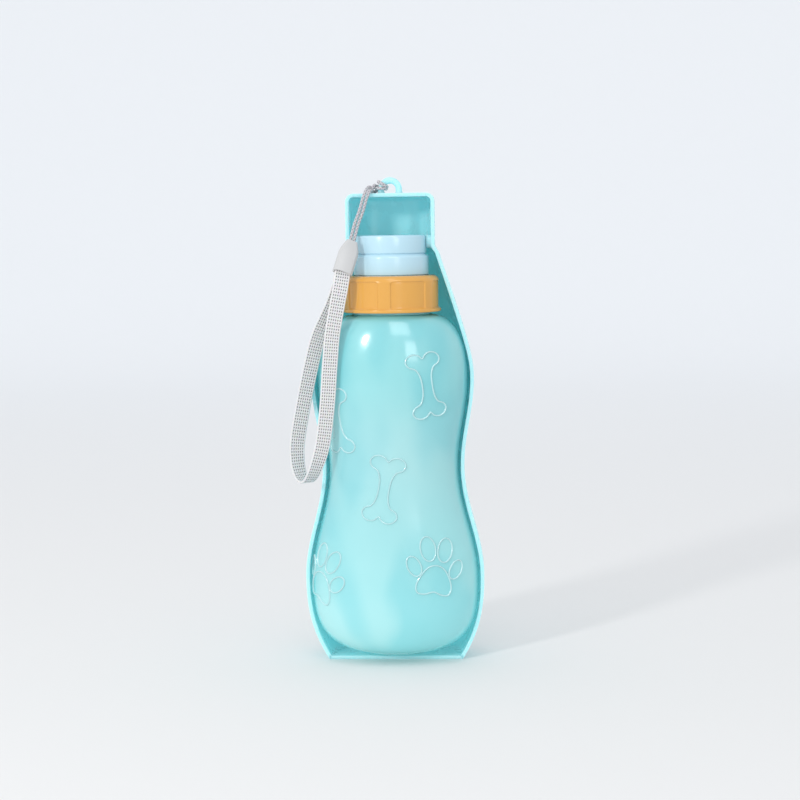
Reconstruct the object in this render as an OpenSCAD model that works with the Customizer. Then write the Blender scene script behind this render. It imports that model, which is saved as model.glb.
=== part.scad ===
// Dog travel water bottle: a squeeze bottle that nests in its own folding drinking tray.
// Origin: on the ground, under the bottle's axis. Front is -Y, up is +Z. Millimetres.
// The long tray swings back and up about the two pins beside the drinking head.

/* [Bottle] */
// Height of the bottle's underside over the ground
bottle_floor = 2.9; // [2.4:0.1:3.6]
// Height of the widest place of the lower belly
lower_belly_z = 38.6; // [32:0.2:44]
// Rise from the lower belly to the waist
waist_rise = 50.6; // [44:0.2:56]
// Rise from the waist to the upper belly
upper_belly_rise = 41.4; // [36:0.2:46]
// Rise from the upper belly to the top of the shoulder
shoulder_rise = 28.7; // [26:0.1:32]
// Width across the lower belly
lower_belly_w = 76.5; // [70:0.5:80]
// Width across the waist
waist_w = 59.4; // [58:0.2:64]
// Width across the upper belly
upper_belly_w = 69; // [66:0.5:72]
// Depth of the lower belly, front to back
lower_belly_d = 50; // [48:0.5:54]
// Depth of the waist, front to back
waist_d = 43; // [42:0.5:47]
// Depth of the upper belly, front to back
upper_belly_d = 47.4; // [45:0.2:50]
// Wall of the blown bottle
bottle_wall = 1.0; // [0.8:0.1:1.6]

/* [Neck and thread] */
// Outer radius of the neck under its thread
neck_r = 17.8; // [17.4:0.1:18.2]
// Height of the neck over the shoulder
neck_h = 12.3; // [11.5:0.1:14]
// Wall of the neck
neck_wall = 2.4; // [1.8:0.1:2.8]
// Rise of the thread in one turn
thread_pitch = 3.5; // [3.2:0.1:3.6]
// Height of the thread's ridge
thread_ridge = 1.0; // [0.8:0.05:1.1]
// Radial clearance between the two threads
thread_gap = 0.35; // [0.25:0.05:0.45]

/* [Collar] */
// Wall of the screw collar between its grip bars
collar_wall = 2.2; // [1.8:0.1:2.6]
// Height of the grip bars over the wall
bar_height = 0.6; // [0.4:0.1:1.2]
// Number of grip bars
bar_count = 6; // [4:1:12]
// Angle that one grip bar spans
bar_angle = 14; // [8:1:20]
// Turn of the front grip bar from the middle towards the left
bar_phase = 5; // [0:1:30]
// Height of the band over the panels between the grip bars, flush with the bars
band_h = 2.2; // [1.6:0.1:3]
// How far the bead at the collar's lower edge stands out
bead_out = 1.3; // [0.8:0.1:1.4]
// Height of that bead
bead_h = 1.6; // [1.2:0.1:2.4]
// Thickness of the collar's top lip
lip_t = 1.8; // [1.5:0.1:2.2]
// Radius of the collar's top edge
collar_round = 3; // [2:0.1:3.4]
// Gap between the collar's lower edge and the shoulder
collar_gap = 1.2; // [0.8:0.1:2]

/* [Drinking head] */
// Radius of the lower tier
lower_tier_r = 17.1; // [16.6:0.1:17.3]
// Height of the lower tier over its flange
lower_tier_h = 11.1; // [10:0.1:12.5]
// Radius of the upper tier
upper_tier_r = 16.1; // [15.6:0.1:16.3]
// Height of the upper tier
upper_tier_h = 8.2; // [7.8:0.1:9]
// Height of the sloping groove between the tiers
tier_groove = 1.0; // [0.6:0.1:1.4]
// Thickness of the flange under the collar's lip
flange_t = 1.8; // [1.4:0.1:2.2]
// How far the flange stands out past the lower tier
flange_out = 1.7; // [1.4:0.1:1.8]
// Wall of the head
head_wall = 2.4; // [2:0.1:2.8]
// Depth of the skirt inside the neck
skirt_h = 5; // [3:0.5:7]
// Radius of the outlet
outlet_r = 5.2; // [4.6:0.1:6]
// Thickness of the neck gasket
gasket_t = 1.5; // [1:0.1:2]
// Thickness of the slip ring under the collar's lip
slip_t = 0.3; // [0.2:0.05:0.5]
// Thickness of the valve's skin
valve_t = 0.9; // [0.7:0.1:1.1]

/* [Tray] */
// Gap between the bottle's sides and the tray
tray_gap = 1.2; // [1:0.1:1.8]
// Wall of the tray
tray_wall = 1.6; // [1.3:0.1:2]
// Distance of the rim plane in front of the bottle's axis
rim_front = 4.5; // [3.8:0.1:4.8]
// Inner width of the tray beside the head
tray_neck_w = 37.2; // [36.6:0.1:38.4]
// Inner width of the tray at its standing end
tray_base_w = 58.4; // [54:0.2:62]
// Inner depth behind the axis at the standing end
tray_base_d = 22.5; // [20:0.5:25]
// Slope of the tray's sides above the upper belly
tray_slope = 0.34; // [0.33:0.005:0.35]
// Length over which the upper belly turns into that slope
slope_round = 13; // [12:0.5:14]
// Inner rise of the tray over the pins
pocket_rise = 20.4; // [20:0.1:22]
// Outer radius of the corners at the tray's top
top_corner = 3.8; // [3:0.1:4.6]

/* [Pivot] */
// Depth of the pins' axis below the head's top
pivot_drop = 3; // [2.9:0.1:3.4]
// Radius of the pins
pin_r = 1.8; // [1.6:0.05:1.9]
// Radial clearance of the pins
pin_gap = 0.06; // [0.03:0.01:0.1]
// How deep the pins reach into the head
pin_depth = 1.6; // [1.2:0.1:1.8]
// Radius of the spacing bosses around the pins
boss_r = 3; // [2.8:0.1:3.1]

/* [Hanging eye] */
// Radius of the eye's bar at the middle of its bend
eye_r = 4.05; // [3.8:0.05:4.6]
// Radius of the bar itself
eye_bar_r = 1.45; // [1.2:0.05:1.6]
// Height of the bend's centre over the tray's top
eye_rise = 1.7; // [1.5:0.1:2.4]
// Distance of the eye behind the bottle's axis
eye_back = 0.5; // [0.2:0.1:1.5]

/* [Wrist strap] */
// Diameter of the thin cord
strand_d = 1.5; // [1.2:0.1:1.6]
// Width of the woven loop
webbing_w = 7; // [6:0.2:7.4]
// Thickness of the woven loop
webbing_t = 1.1; // [0.8:0.1:1.3]
// Width of the ferrule at its mouth
ferrule_w = 8.8; // [8.4:0.1:9.2]
// Thickness of the ferrule at its mouth
ferrule_t = 5; // [4.8:0.1:5.4]
// Length of the ferrule
ferrule_len = 16; // [15:0.5:18]
// Wall of the ferrule
ferrule_wall = 0.75; // [0.6:0.05:0.8]

/* [Hidden] */
$fn = 96;
SEAL_GAP = 0.05;       // between pieces of one assembly that sit in each other
SLIDE_GAP = 0.3;       // beside pieces that turn past each other
BOSS_GAP = 0.25;       // between a spacing boss and the head
BOSS_ROOT = 0.8;       // how far a boss reaches into the tray's wall
SLAB_T = 0.8;          // flat slab under the tray's standing end
FOOT_SHARE = 0.36;     // flat underside of the bottle, as a share of the belly
BOTTOM_POWER = 3.1;    // squareness of the bottle's rounded bottom
SHOULDER_POWER = 2.2;  // squareness of the bottle's shoulder
TRAY_POWER = 3.6;      // squareness of the tray's cross-section
BASE_POWER = 2.4;      // how late the tray's sides turn in towards the standing end
NECK_STEP = 3.5;       // height over which the tray's sides step in beside the head
THREAD_TURNS = 1.5;
THREAD_STEPS = 40;     // thread rings per turn
RIDGE_ROOT_W = 1.4;    // width of the thread's ridge at its root
RIDGE_CREST_W = 0.6;   // and at its crest
ROOT_SINK = 0.5;       // how far a ridge is rooted in its wall
THREAD_CLEAR = 0.2;    // under the head's flange when the collar is unscrewed by one turn
CUT = 1;               // how far a cut runs past the face it opens
AROUND = 48;           // facets around the bottle
SECTION_STEPS = 28;    // facets around the tray's cross-section
CORNER_STEPS = 4;

// heights that follow from the sizes above
waist_z = lower_belly_z + waist_rise;
upper_belly_z = waist_z + upper_belly_rise;
shoulder_z = upper_belly_z + shoulder_rise;
neck_top = shoulder_z + neck_h;
flange_z = neck_top + gasket_t;
slip_z = flange_z + flange_t;
lip_z = slip_z + slip_t;
collar_top = lip_z + lip_t;
collar_bottom = shoulder_z + collar_gap;
thread_z = flange_z - THREAD_CLEAR - RIDGE_ROOT_W / 2 - (THREAD_TURNS + 1.5) * thread_pitch;
lower_tier_top = slip_z + lower_tier_h;
upper_tier_z = lower_tier_top + tier_groove;
head_top = upper_tier_z + upper_tier_h;
pivot_z = head_top - pivot_drop;
tray_top = pivot_z + pocket_rise + tray_wall;
eye_z = tray_top + eye_rise;

// radii that follow from the sizes above
neck_bore = neck_r - neck_wall;
crest_r = neck_r + thread_ridge;
collar_bore = crest_r + thread_gap;
collar_crest = neck_r + thread_gap;
collar_r = collar_bore + collar_wall;
lip_bore = lower_tier_r + SLIDE_GAP;
flange_r = lower_tier_r + flange_out;
skirt_r = neck_bore - SLIDE_GAP;
head_bore = skirt_r - head_wall / 2;
spigot_r = upper_tier_r - head_wall - 0.7;
spigot_h = 3.6;
spigot_top = upper_tier_z + spigot_h;
seat_r = spigot_r - head_wall;
valve_flange_r = spigot_r - 0.4;
valve_flange_t = 1.1;
ledge_z = spigot_top + valve_flange_t;
ring_groove_z = upper_tier_z + spigot_h / 2;
ring_r = 0.62;
socket_x = upper_tier_r - pin_depth;
tray_neck_d = collar_r + bead_out + tray_gap;

// ---- shared functions ----

function mix(a, b, t) = a + (b - a) * t;
function ease(t) = (1 - cos(180 * t)) / 2;
function clamp01(t) = min(1, max(0, t));
function squircle(t, power) = pow(max(0, 1 - pow(t, power)), 1 / power);

// Closed loft through rings of equal length, with a flat cap at each end.
module loft(rings) {
  n = len(rings[0]);
  last = len(rings) - 1;
  sides = [
    for (k = [0:last - 1], i = [0:n - 1])
      let (a = k * n + i, b = k * n + (i + 1) % n)
        each [[a, a + n, b + n], [a, b + n, b]]
  ];
  floor_face = [for (i = [0:n - 1]) i];
  top_face = [for (i = [n - 1:-1:0]) last * n + i];
  polyhedron(points = [for (r = rings) each r], faces = concat([floor_face], sides, [top_face]));
}

function ellipse_ring(z, w, d) =
  [for (i = [0:AROUND - 1]) [w * cos(360 * i / AROUND), d * sin(360 * i / AROUND), z]];

// Helical ridge from root radius to crest radius, rooted in the wall it stands on.
module thread(root_r, crest_r, start_z, outward) {
  sink = outward ? -ROOT_SINK : ROOT_SINK;
  steps = THREAD_TURNS * THREAD_STEPS;
  function fade(k) = clamp01(min(k, steps - k) / 4);
  function corner(r, a, z) = [r * cos(a), r * sin(a), z];
  rings = [
    for (k = [0:steps])
      let (
        a = 360 * k / THREAD_STEPS,
        z = start_z + thread_pitch * k / THREAD_STEPS,
        crest = mix(root_r + sink / 2, crest_r, fade(k)),
        section = [
          corner(root_r + sink, a, z - RIDGE_ROOT_W / 2),
          corner(crest, a, z - RIDGE_CREST_W / 2),
          corner(crest, a, z + RIDGE_CREST_W / 2),
          corner(root_r + sink, a, z + RIDGE_ROOT_W / 2)
        ]
      ) outward ? [for (i = [3:-1:0]) section[i]] : section
  ];
  loft(rings);
}

// Straight pin along X on the side that sign names.
module pin_x(sign, x1, x2, r) {
  translate([sign * x1, 0, pivot_z])
    rotate([0, sign * 90, 0])
      cylinder(r = r, h = x2 - x1);
}

// ---- bottle ----

// Half-size of the bottle between the bellies and the waist, for its width or its depth.
function wave(z, lower, waist, upper) =
  z < waist_z
    ? mix(lower, waist, ease((z - lower_belly_z) / (waist_z - lower_belly_z)))
    : mix(waist, upper, ease((z - waist_z) / (upper_belly_z - waist_z)));

// Rings of the bottle's skin from its underside to the neck, inset by a wall.
function bottle_rings(inset, neck) =
  let (
    floor_z = bottle_floor + inset,
    drop = lower_belly_z - floor_z,
    half = [lower_belly_w, waist_w, upper_belly_w] / 2 - inset * [1, 1, 1],
    deep = [lower_belly_d, waist_d, upper_belly_d] / 2 - inset * [1, 1, 1],
    rise = shoulder_z - inset - upper_belly_z
  )
  concat(
    [ellipse_ring(floor_z, half[0] * FOOT_SHARE, deep[0] * FOOT_SHARE)],
    [
      for (a = [72:-12:12])
        let (across = pow(cos(a), 2 / BOTTOM_POWER), down = pow(sin(a), 2 / BOTTOM_POWER))
          ellipse_ring(lower_belly_z - drop * down, half[0] * across, deep[0] * across)
    ],
    [
      for (k = [0:14])
        let (z = mix(lower_belly_z, upper_belly_z, k / 14))
          ellipse_ring(z, wave(z, half[0], half[1], half[2]), wave(z, deep[0], deep[1], deep[2]))
    ],
    [
      for (a = [12:12:84])
        let (up = pow(sin(a), 2 / SHOULDER_POWER), across = pow(cos(a), 2 / SHOULDER_POWER))
          ellipse_ring(
            upper_belly_z + rise * up, mix(neck, half[2], across), mix(neck, deep[2], across)
          )
    ],
    [ellipse_ring(shoulder_z - inset, neck, neck), ellipse_ring(neck_top, neck, neck)]
  );

module bottle_body() {
  outer = bottle_rings(0, neck_r);
  inner = bottle_rings(bottle_wall, neck_bore);
  color([0.56, 0.85, 0.87, 0.75])
    union() {
      loft(concat(outer, [for (k = [len(inner) - 1:-1:0]) inner[k]]));
      thread(neck_r, crest_r, thread_z, true);
    }
}

module neck_gasket() {
  color("whitesmoke")
    translate([0, 0, neck_top])
      difference() {
        cylinder(r = neck_r, h = gasket_t);
        translate([0, 0, -CUT])
          cylinder(r = skirt_r + SEAL_GAP, h = gasket_t + 2 * CUT);
      }
}

// ---- screw collar ----

// Outline of a collar of radius r from z1 up to its rounded top edge.
module collar_outline(r, z1, inner_r) {
  arc_z = collar_top - collar_round;
  arc_r = r - collar_round;
  polygon(concat(
    [[inner_r, z1], [r, z1]],
    [for (a = [0:10:90]) [arc_r + collar_round * cos(a), arc_z + collar_round * sin(a)]],
    [[inner_r, collar_top]]
  ));
}

// Outline of the collar's wall, with the band over its panels.
module collar_wall_outline() {
  collar_outline(collar_r, collar_bottom, 0);
  intersection() {
    collar_outline(collar_r + bar_height, collar_bottom, 0);
    translate([0, collar_top - band_h])
      square([2 * collar_r, band_h]);
  }
}

module screw_collar() {
  color([0.87, 0.7, 0.45])
    union() {
      difference() {
        union() {
          rotate_extrude() collar_wall_outline();
          for (i = [0:bar_count - 1])
            rotate([0, 0, 360 * i / bar_count - 90 - bar_phase - bar_angle / 2])
              rotate_extrude(angle = bar_angle)
                collar_outline(collar_r + bar_height, collar_bottom + bead_h / 2, collar_bore + 0.5);
          translate([0, 0, collar_bottom])
            cylinder(r = collar_r + bead_out, h = bead_h);
        }
        translate([0, 0, collar_bottom - CUT])
          cylinder(r = collar_bore, h = lip_z - collar_bottom + CUT);
        translate([0, 0, collar_bottom])
          cylinder(r = lip_bore, h = collar_top - collar_bottom + CUT);
      }
      thread(collar_bore, collar_crest, thread_z + thread_pitch / 2, false);
    }
}

module collar_slip_ring() {
  color("gainsboro")
    translate([0, 0, slip_z])
      difference() {
        cylinder(r = flange_r, h = slip_t);
        translate([0, 0, -CUT])
          cylinder(r = lip_bore, h = slip_t + 2 * CUT);
      }
}

// ---- drinking head ----

module head_base() {
  groove_r = spigot_r - 2 * ring_r;
  color([0.77, 0.93, 0.98])
    rotate_extrude()
      polygon([
        [head_bore, neck_top - skirt_h], [skirt_r, neck_top - skirt_h], [skirt_r, flange_z],
        [flange_r, flange_z], [flange_r, slip_z], [lower_tier_r, slip_z],
        [lower_tier_r, lower_tier_top - tier_groove / 2],
        [upper_tier_r - tier_groove / 2, upper_tier_z], [spigot_r, upper_tier_z],
        [spigot_r, ring_groove_z - ring_r - SEAL_GAP], [groove_r, ring_groove_z - ring_r - SEAL_GAP],
        [groove_r, ring_groove_z + ring_r + SEAL_GAP], [spigot_r, ring_groove_z + ring_r + SEAL_GAP],
        [spigot_r, spigot_top], [seat_r, spigot_top], [seat_r, upper_tier_z - head_wall],
        [head_bore, upper_tier_z - 2 * head_wall]
      ]);
}

module head_oring() {
  color("dimgray")
    translate([0, 0, ring_groove_z])
      rotate_extrude()
        translate([spigot_r - ring_r + SEAL_GAP / 2, 0])
          circle(r = ring_r, $fn = 32);
}

module outlet_valve() {
  slit = 0.25;
  dome_r = outlet_r - SLIDE_GAP;
  dome_z = ledge_z;
  color("white")
    difference() {
      union() {
        translate([0, 0, spigot_top])
          difference() {
            cylinder(r = valve_flange_r, h = valve_flange_t);
            translate([0, 0, -CUT])
              cylinder(r = dome_r - valve_t, h = valve_flange_t + 2 * CUT);
          }
        translate([0, 0, dome_z - valve_t])
          cylinder(r = dome_r, h = 2 * valve_t);
      }
      for (a = [45, 135])
        rotate([0, 0, a])
          translate([-dome_r / 2, -slit / 2, spigot_top - CUT])
            cube([dome_r, slit, head_top - spigot_top]);
    }
}

module head_cap() {
  edge = 0.6;
  color([0.77, 0.93, 0.98])
    difference() {
      rotate_extrude()
        polygon([
          [spigot_r + SEAL_GAP, upper_tier_z], [upper_tier_r - edge, upper_tier_z],
          [upper_tier_r, upper_tier_z + edge], [upper_tier_r, head_top - edge],
          [upper_tier_r - edge, head_top], [outlet_r + head_wall + edge, head_top],
          [outlet_r + head_wall, head_top - edge], [outlet_r, head_top - edge],
          [outlet_r, ledge_z], [spigot_r + SEAL_GAP, ledge_z]
        ]);
      for (side = [-1, 1])
        pin_x(side, socket_x, upper_tier_r + CUT, pin_r + pin_gap);
    }
}

// ---- tray ----

// Inner half-width of the tray at its rim.
function tray_half(z) =
  let (
    lower = lower_belly_w / 2 + tray_gap,
    waist = waist_w / 2 + tray_gap,
    upper = upper_belly_w / 2 + tray_gap,
    over = z - upper_belly_z,
    slant = upper - tray_slope * (sqrt(over * over + slope_round * slope_round) - slope_round),
    neck_share = ease(clamp01((pivot_z - boss_r + NECK_STEP / 2 - z) / NECK_STEP))
  )
  z < lower_belly_z
    ? mix(lower, tray_base_w / 2, pow((lower_belly_z - z) / lower_belly_z, BASE_POWER))
    : z < upper_belly_z ? wave(z, lower, waist, upper) : mix(tray_neck_w / 2, slant, neck_share);

// Inner depth of the tray behind the bottle's axis.
function tray_deep(z) =
  let (
    lower = lower_belly_d / 2 + tray_gap,
    waist = waist_d / 2 + tray_gap,
    upper = upper_belly_d / 2 + tray_gap
  )
  z < lower_belly_z
    ? mix(lower, tray_base_d, pow((lower_belly_z - z) / lower_belly_z, BASE_POWER))
    : z < upper_belly_z
        ? wave(z, lower, waist, upper)
        : mix(upper, tray_neck_d, ease(clamp01((z - upper_belly_z) / (pivot_z - boss_r - upper_belly_z))));

// Open cross-section from the right rim round the back to the left rim, grown by a wall.
function tray_section(z, at_z, grow) =
  let (half = tray_half(at_z) + grow, deep = tray_deep(at_z) + rim_front + grow)
  [
    for (i = [0:SECTION_STEPS])
      let (a = 180 * i / SECTION_STEPS)
        [
          half * sign(cos(a)) * pow(abs(cos(a)), 2 / TRAY_POWER),
          deep * pow(max(0, sin(a)), 2 / TRAY_POWER) - rim_front,
          z
        ]
  ];

// Heights of the rings between the two ends, closer together where the sides step in.
function tray_heights() =
  let (step_z = pivot_z - boss_r - NECK_STEP / 2)
  concat(
    [for (k = [1:4]) lower_belly_z * k / 5],
    [for (k = [0:12]) mix(lower_belly_z, upper_belly_z, k / 12)],
    [for (k = [1:6]) mix(upper_belly_z, step_z, k / 6)],
    [for (k = [1:4]) step_z + NECK_STEP * k / 4]
  );

// Rings that close the tray's top with rounded corners.
function tray_top_rings(end_z, corner, grow) =
  [
    for (k = [0:CORNER_STEPS])
      let (a = 90 * k / CORNER_STEPS)
        tray_section(
          end_z - corner + corner * sin(a), end_z - corner, grow - corner * (1 - cos(a))
        )
  ];

module tray_trough() {
  n = SECTION_STEPS + 1;
  e = SECTION_STEPS;
  heights = tray_heights();
  outer = concat(
    [tray_section(SLAB_T, 0, tray_wall)],
    [for (z = heights) tray_section(z, z, tray_wall)],
    tray_top_rings(tray_top, top_corner, tray_wall)
  );
  inner = concat(
    [tray_section(tray_wall, tray_wall, 0)],
    [for (z = heights) tray_section(z, z, 0)],
    tray_top_rings(tray_top - tray_wall, top_corner - tray_wall, 0)
  );
  top = len(outer) - 1;
  function o(k, i) = k * n + i;
  function s(k, i) = (top + 1 + k) * n + i;
  skins = [
    for (k = [0:top - 1], i = [0:e - 1])
      each [
        [o(k, i), o(k + 1, i), o(k + 1, i + 1)], [o(k, i), o(k + 1, i + 1), o(k, i + 1)],
        [s(k, i), s(k + 1, i + 1), s(k + 1, i)], [s(k, i), s(k, i + 1), s(k + 1, i + 1)]
      ]
  ];
  rims = [
    for (k = [0:top - 1])
      each [
        [s(k, 0), s(k + 1, 0), o(k + 1, 0)], [s(k, 0), o(k + 1, 0), o(k, 0)],
        [o(k, e), o(k + 1, e), s(k + 1, e)], [o(k, e), s(k + 1, e), s(k, e)]
      ]
  ];
  ends = [
    [for (i = [0:e]) o(0, i)],
    [for (i = [e:-1:0]) o(top, i)],
    [for (i = [e:-1:0]) s(0, i)],
    [for (i = [0:e]) s(top, i)],
    [o(0, e), s(0, e), s(0, 0), o(0, 0)],
    [s(top, e), o(top, e), o(top, 0), s(top, 0)]
  ];
  polyhedron(
    points = concat([for (r = outer) each r], [for (r = inner) each r]),
    faces = concat(skins, rims, ends)
  );
}

module hanging_eye() {
  translate([0, eye_back, eye_z])
    rotate([90, 0, 0])
      rotate_extrude(angle = 180)
        translate([eye_r, 0])
          circle(r = eye_bar_r, $fn = 32);
  for (side = [-1, 1])
    translate([side * eye_r, eye_back, tray_top - tray_wall / 2])
      cylinder(r = eye_bar_r, h = eye_z - tray_top + tray_wall / 2, $fn = 32);
}

module tray_shell() {
  wall_x = tray_neck_w / 2;
  color([0.47, 0.8, 0.84])
    union() {
      linear_extrude(height = SLAB_T)
        polygon([for (p = tray_section(0, 0, tray_wall)) [p[0], p[1]]]);
      tray_trough();
      for (side = [-1, 1]) {
        pin_x(side, upper_tier_r + BOSS_GAP, wall_x + BOSS_ROOT, boss_r);
        pin_x(side, socket_x + BOSS_GAP, wall_x + BOSS_ROOT, pin_r);
      }
      hanging_eye();
    }
}

// ---- wrist strap ----

// Ends of the ferrule's axis, and its turn about that axis.
FERRULE_MOUTH = [-20.6, -19.6, 178.6];
FERRULE_LEAN_BACK = 25;
FERRULE_LEAN_RIGHT = 16;
FERRULE_TURN = 12;
FERRULE_TOP_W = 5.2;
FERRULE_TOP_T = 4.2;
RIDGE = 0.5;           // height of the ridge along the ferrule's front
CRIMP = [6.4, 2.9, 3.4];
CRIMP_Z = 6.2;         // height of the crimp over the ferrule's mouth
STRAND_APART = 0.82;   // half the distance between the two strands
KNOT_GAP = 0.1;        // between the knot and the eye's bar
STRAND_GAP = 0.7;      // between the knot and the middle of a strand's slanted end
KNOT_TURNS = [138, 172];
WEBBING_STEPS = 4;     // sweep steps between two route points
STRAND_STEPS = 3;

// Route of the thin cord between the knot and the ferrule: [x, y, z, share of the ferrule's
// width direction in the line from one strand to the other].
CORD_ROUTE = [
  [-8.25, -0.4, 216, 0.2], [-8.9, -2.4, 216.4, 0.5], [-9.6, -5.4, 215.5, 0.8],
  [-10.9, -7.9, 212, 1], [-12.6, -9.3, 206, 1], [-14.8, -10.4, 200, 1]
];
// Route of the woven loop below the ferrule: [x, y, z, turn of its width about Z].
WEBBING_ROUTE = [
  [-21.4, -21.4, 172, 12], [-23, -21.6, 164, 12], [-25.4, -21.4, 151, 12], [-26.8, -20.8, 137, 12],
  [-28.5, -20, 118, 14], [-30.9, -19, 101.5, 18], [-33.9, -17.6, 91.7, 28], [-36.9, -15.2, 85.7, 38],
  [-39.4, -12.2, 83.9, 44], [-41.9, -9.2, 85.7, 38], [-43.6, -7.4, 91.7, 28], [-43.6, -7.2, 101.5, 18],
  [-40.6, -8.4, 118, 14], [-36.2, -10.8, 137, 12], [-32, -13.4, 151, 12], [-25.6, -17, 164, 12],
  [-22.4, -19, 172, 12]
];

function turn_z(p, a) = [p[0] * cos(a) - p[1] * sin(a), p[0] * sin(a) + p[1] * cos(a), p[2]];
function lean_back(p, a) = [p[0], p[1] * cos(a) + p[2] * sin(a), p[2] * cos(a) - p[1] * sin(a)];
function lean_right(p, a) = [p[0] * cos(a) + p[2] * sin(a), p[1], p[2] * cos(a) - p[0] * sin(a)];
// A point of the ferrule's own frame, in the frame of the whole object.
function at_ferrule(p) =
  FERRULE_MOUTH
  + lean_right(lean_back(turn_z(p, FERRULE_TURN), FERRULE_LEAN_BACK), FERRULE_LEAN_RIGHT);

// Catmull-Rom curve through a list of vectors of any length.
function spline_at(p, k, t) =
  let (a = p[max(k - 1, 0)], b = p[k], c = p[k + 1], d = p[min(k + 2, len(p) - 1)])
  0.5 * (2 * b + (c - a) * t + (2 * a - 5 * b + 4 * c - d) * t * t + (3 * b - a - 3 * c + d) * t * t * t);
function spline(p, steps) =
  concat([for (k = [0:len(p) - 2], i = [0:steps - 1]) spline_at(p, k, i / steps)], [p[len(p) - 1]]);
function unit(v) = v / norm(v);
function place3(p) = [p[0], p[1], p[2]];
function tangent(p, k) = unit(place3(p[min(k + 1, len(p) - 1)]) - place3(p[max(k - 1, 0)]));

// Round tube along a path.
module tube(path, r, sides) {
  rings = [
    for (k = [0:len(path) - 1])
      let (t = tangent(path, k), u = unit(cross(t, [0, 1, 0])), v = cross(t, u))
        [for (i = [0:sides - 1]) path[k] + r * (cos(360 * i / sides) * u + sin(360 * i / sides) * v)]
  ];
  loft(rings);
}

// Flat band along a path whose fourth value turns its width about Z.
module band(path, w, t) {
  rings = [
    for (k = [0:len(path) - 1])
      let (
        along = tangent(path, k),
        flat = [cos(path[k][3]), sin(path[k][3]), 0],
        face = unit(cross(along, flat)),
        side = cross(face, along)
      )
        [
          for (c = [[1, 1], [-1, 1], [-1, -1], [1, -1]])
            place3(path[k]) + c[0] * side * w / 2 + c[1] * face * t / 2
        ]
  ];
  loft(rings);
}

// One strand of the cord: side -1 is the front one, 1 the back one.
function strand_path(side) =
  let (
    crimp_top = CRIMP_Z + CRIMP[2],
    start = [-eye_r - eye_bar_r - KNOT_GAP - strand_d - STRAND_GAP, eye_back, eye_z, 0],
    middle = concat([start], CORD_ROUTE),
    mouth = at_ferrule([0, 0, ferrule_len]),
    across = at_ferrule([1, 0, 0]) - FERRULE_MOUTH,
    last = len(middle) - 1
  )
  spline(
    concat(
      [
        for (k = [0:last])
          let (
            ahead = k < last ? place3(middle[k + 1]) : mouth,
            along = unit(ahead - place3(middle[max(k - 1, 0)])),
            line = mix([0, 0, -1], across, middle[k][3])
          )
            place3(middle[k]) + side * STRAND_APART * unit(line - along * (line * along))
      ],
      [
        for (z = [ferrule_len, (ferrule_len + crimp_top) / 2, crimp_top])
          at_ferrule([side * STRAND_APART, 0, z])
      ]
    ),
    STRAND_STEPS
  );

module cord_strand(side) {
  color("darkgray") tube(strand_path(side), strand_d / 2, 8);
}

module cord_strand_front() {
  cord_strand(-1);
}

module cord_strand_back() {
  cord_strand(1);
}

// Two turns of cord round the eye's bar.
module lanyard_knot() {
  turn_r = eye_bar_r + KNOT_GAP + strand_d / 2;
  color("gray")
    translate([0, eye_back, eye_z])
      union() {
        for (a = KNOT_TURNS)
          translate([eye_r * cos(a), 0, eye_r * sin(a)])
            rotate([0, -a, 0])
              rotate_extrude()
                translate([turn_r, 0])
                  circle(r = strand_d / 2, $fn = 24);
      }
}

module place_ferrule() {
  translate(FERRULE_MOUTH)
    rotate([-FERRULE_LEAN_BACK, FERRULE_LEAN_RIGHT, 0])
      rotate([0, 0, FERRULE_TURN])
        children();
}

module strap_crimp() {
  color("silver")
    place_ferrule()
      translate([-CRIMP[0] / 2, -CRIMP[1] / 2, CRIMP_Z])
        cube(CRIMP);
}

// Half of the ferrule in its own frame: side -1 is the front half, 1 the back half.
module ferrule_half(side) {
  lap = side < 0 ? 0 : SEAL_GAP;
  shoulder = ferrule_len * 0.62;
  function ring(z, w, t, ridge) =
    [
      [-w / 2, lap * side, z], [w / 2, lap * side, z], [w / 2, side * t * 0.28, z],
      [w / 2 - t * 0.22, side * t / 2, z], [-w * 0.08, side * (t / 2 + ridge), z],
      [-w / 2 + t * 0.22, side * t / 2, z], [-w / 2, side * t * 0.28, z]
    ];
  function turned(r) = side < 0 ? [for (i = [len(r) - 1:-1:0]) r[i]] : r;
  ridge = side < 0 ? RIDGE : 0;
  difference() {
    loft([
      turned(ring(0, ferrule_w, ferrule_t, ridge)),
      turned(ring(shoulder, ferrule_w, ferrule_t, ridge)),
      turned(ring(ferrule_len * 0.86, mix(ferrule_w, FERRULE_TOP_W, 0.55), FERRULE_TOP_T, ridge / 2)),
      turned(ring(ferrule_len, FERRULE_TOP_W, FERRULE_TOP_T * 0.86, 0))
    ]);
    translate([-ferrule_w / 2 + ferrule_wall, -ferrule_t / 2 + ferrule_wall, -CUT])
      cube([ferrule_w - 2 * ferrule_wall, ferrule_t - 2 * ferrule_wall, shoulder + CUT]);
    translate([-STRAND_APART - strand_d / 2 - SEAL_GAP, -strand_d / 2 - SEAL_GAP, 0])
      cube([2 * STRAND_APART + strand_d + 2 * SEAL_GAP, strand_d + 2 * SEAL_GAP, ferrule_len + CUT]);
  }
}

module strap_ferrule_front() {
  color("gainsboro") place_ferrule() ferrule_half(-1);
}

module strap_ferrule_back() {
  color("gainsboro") place_ferrule() ferrule_half(1);
}

module strap_webbing() {
  turn = FERRULE_TURN;
  lay = webbing_t / 2 + SEAL_GAP / 2;
  function in_ferrule(y, z) = let (p = at_ferrule([0, y, z])) [p[0], p[1], p[2], turn];
  path = concat(
    [in_ferrule(-lay, CRIMP_Z), in_ferrule(-lay, 0.5)],
    spline(WEBBING_ROUTE, WEBBING_STEPS),
    [in_ferrule(lay, 0.5), in_ferrule(lay, CRIMP_Z)]
  );
  color("lightgray") band(path, webbing_w, webbing_t);
}

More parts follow.
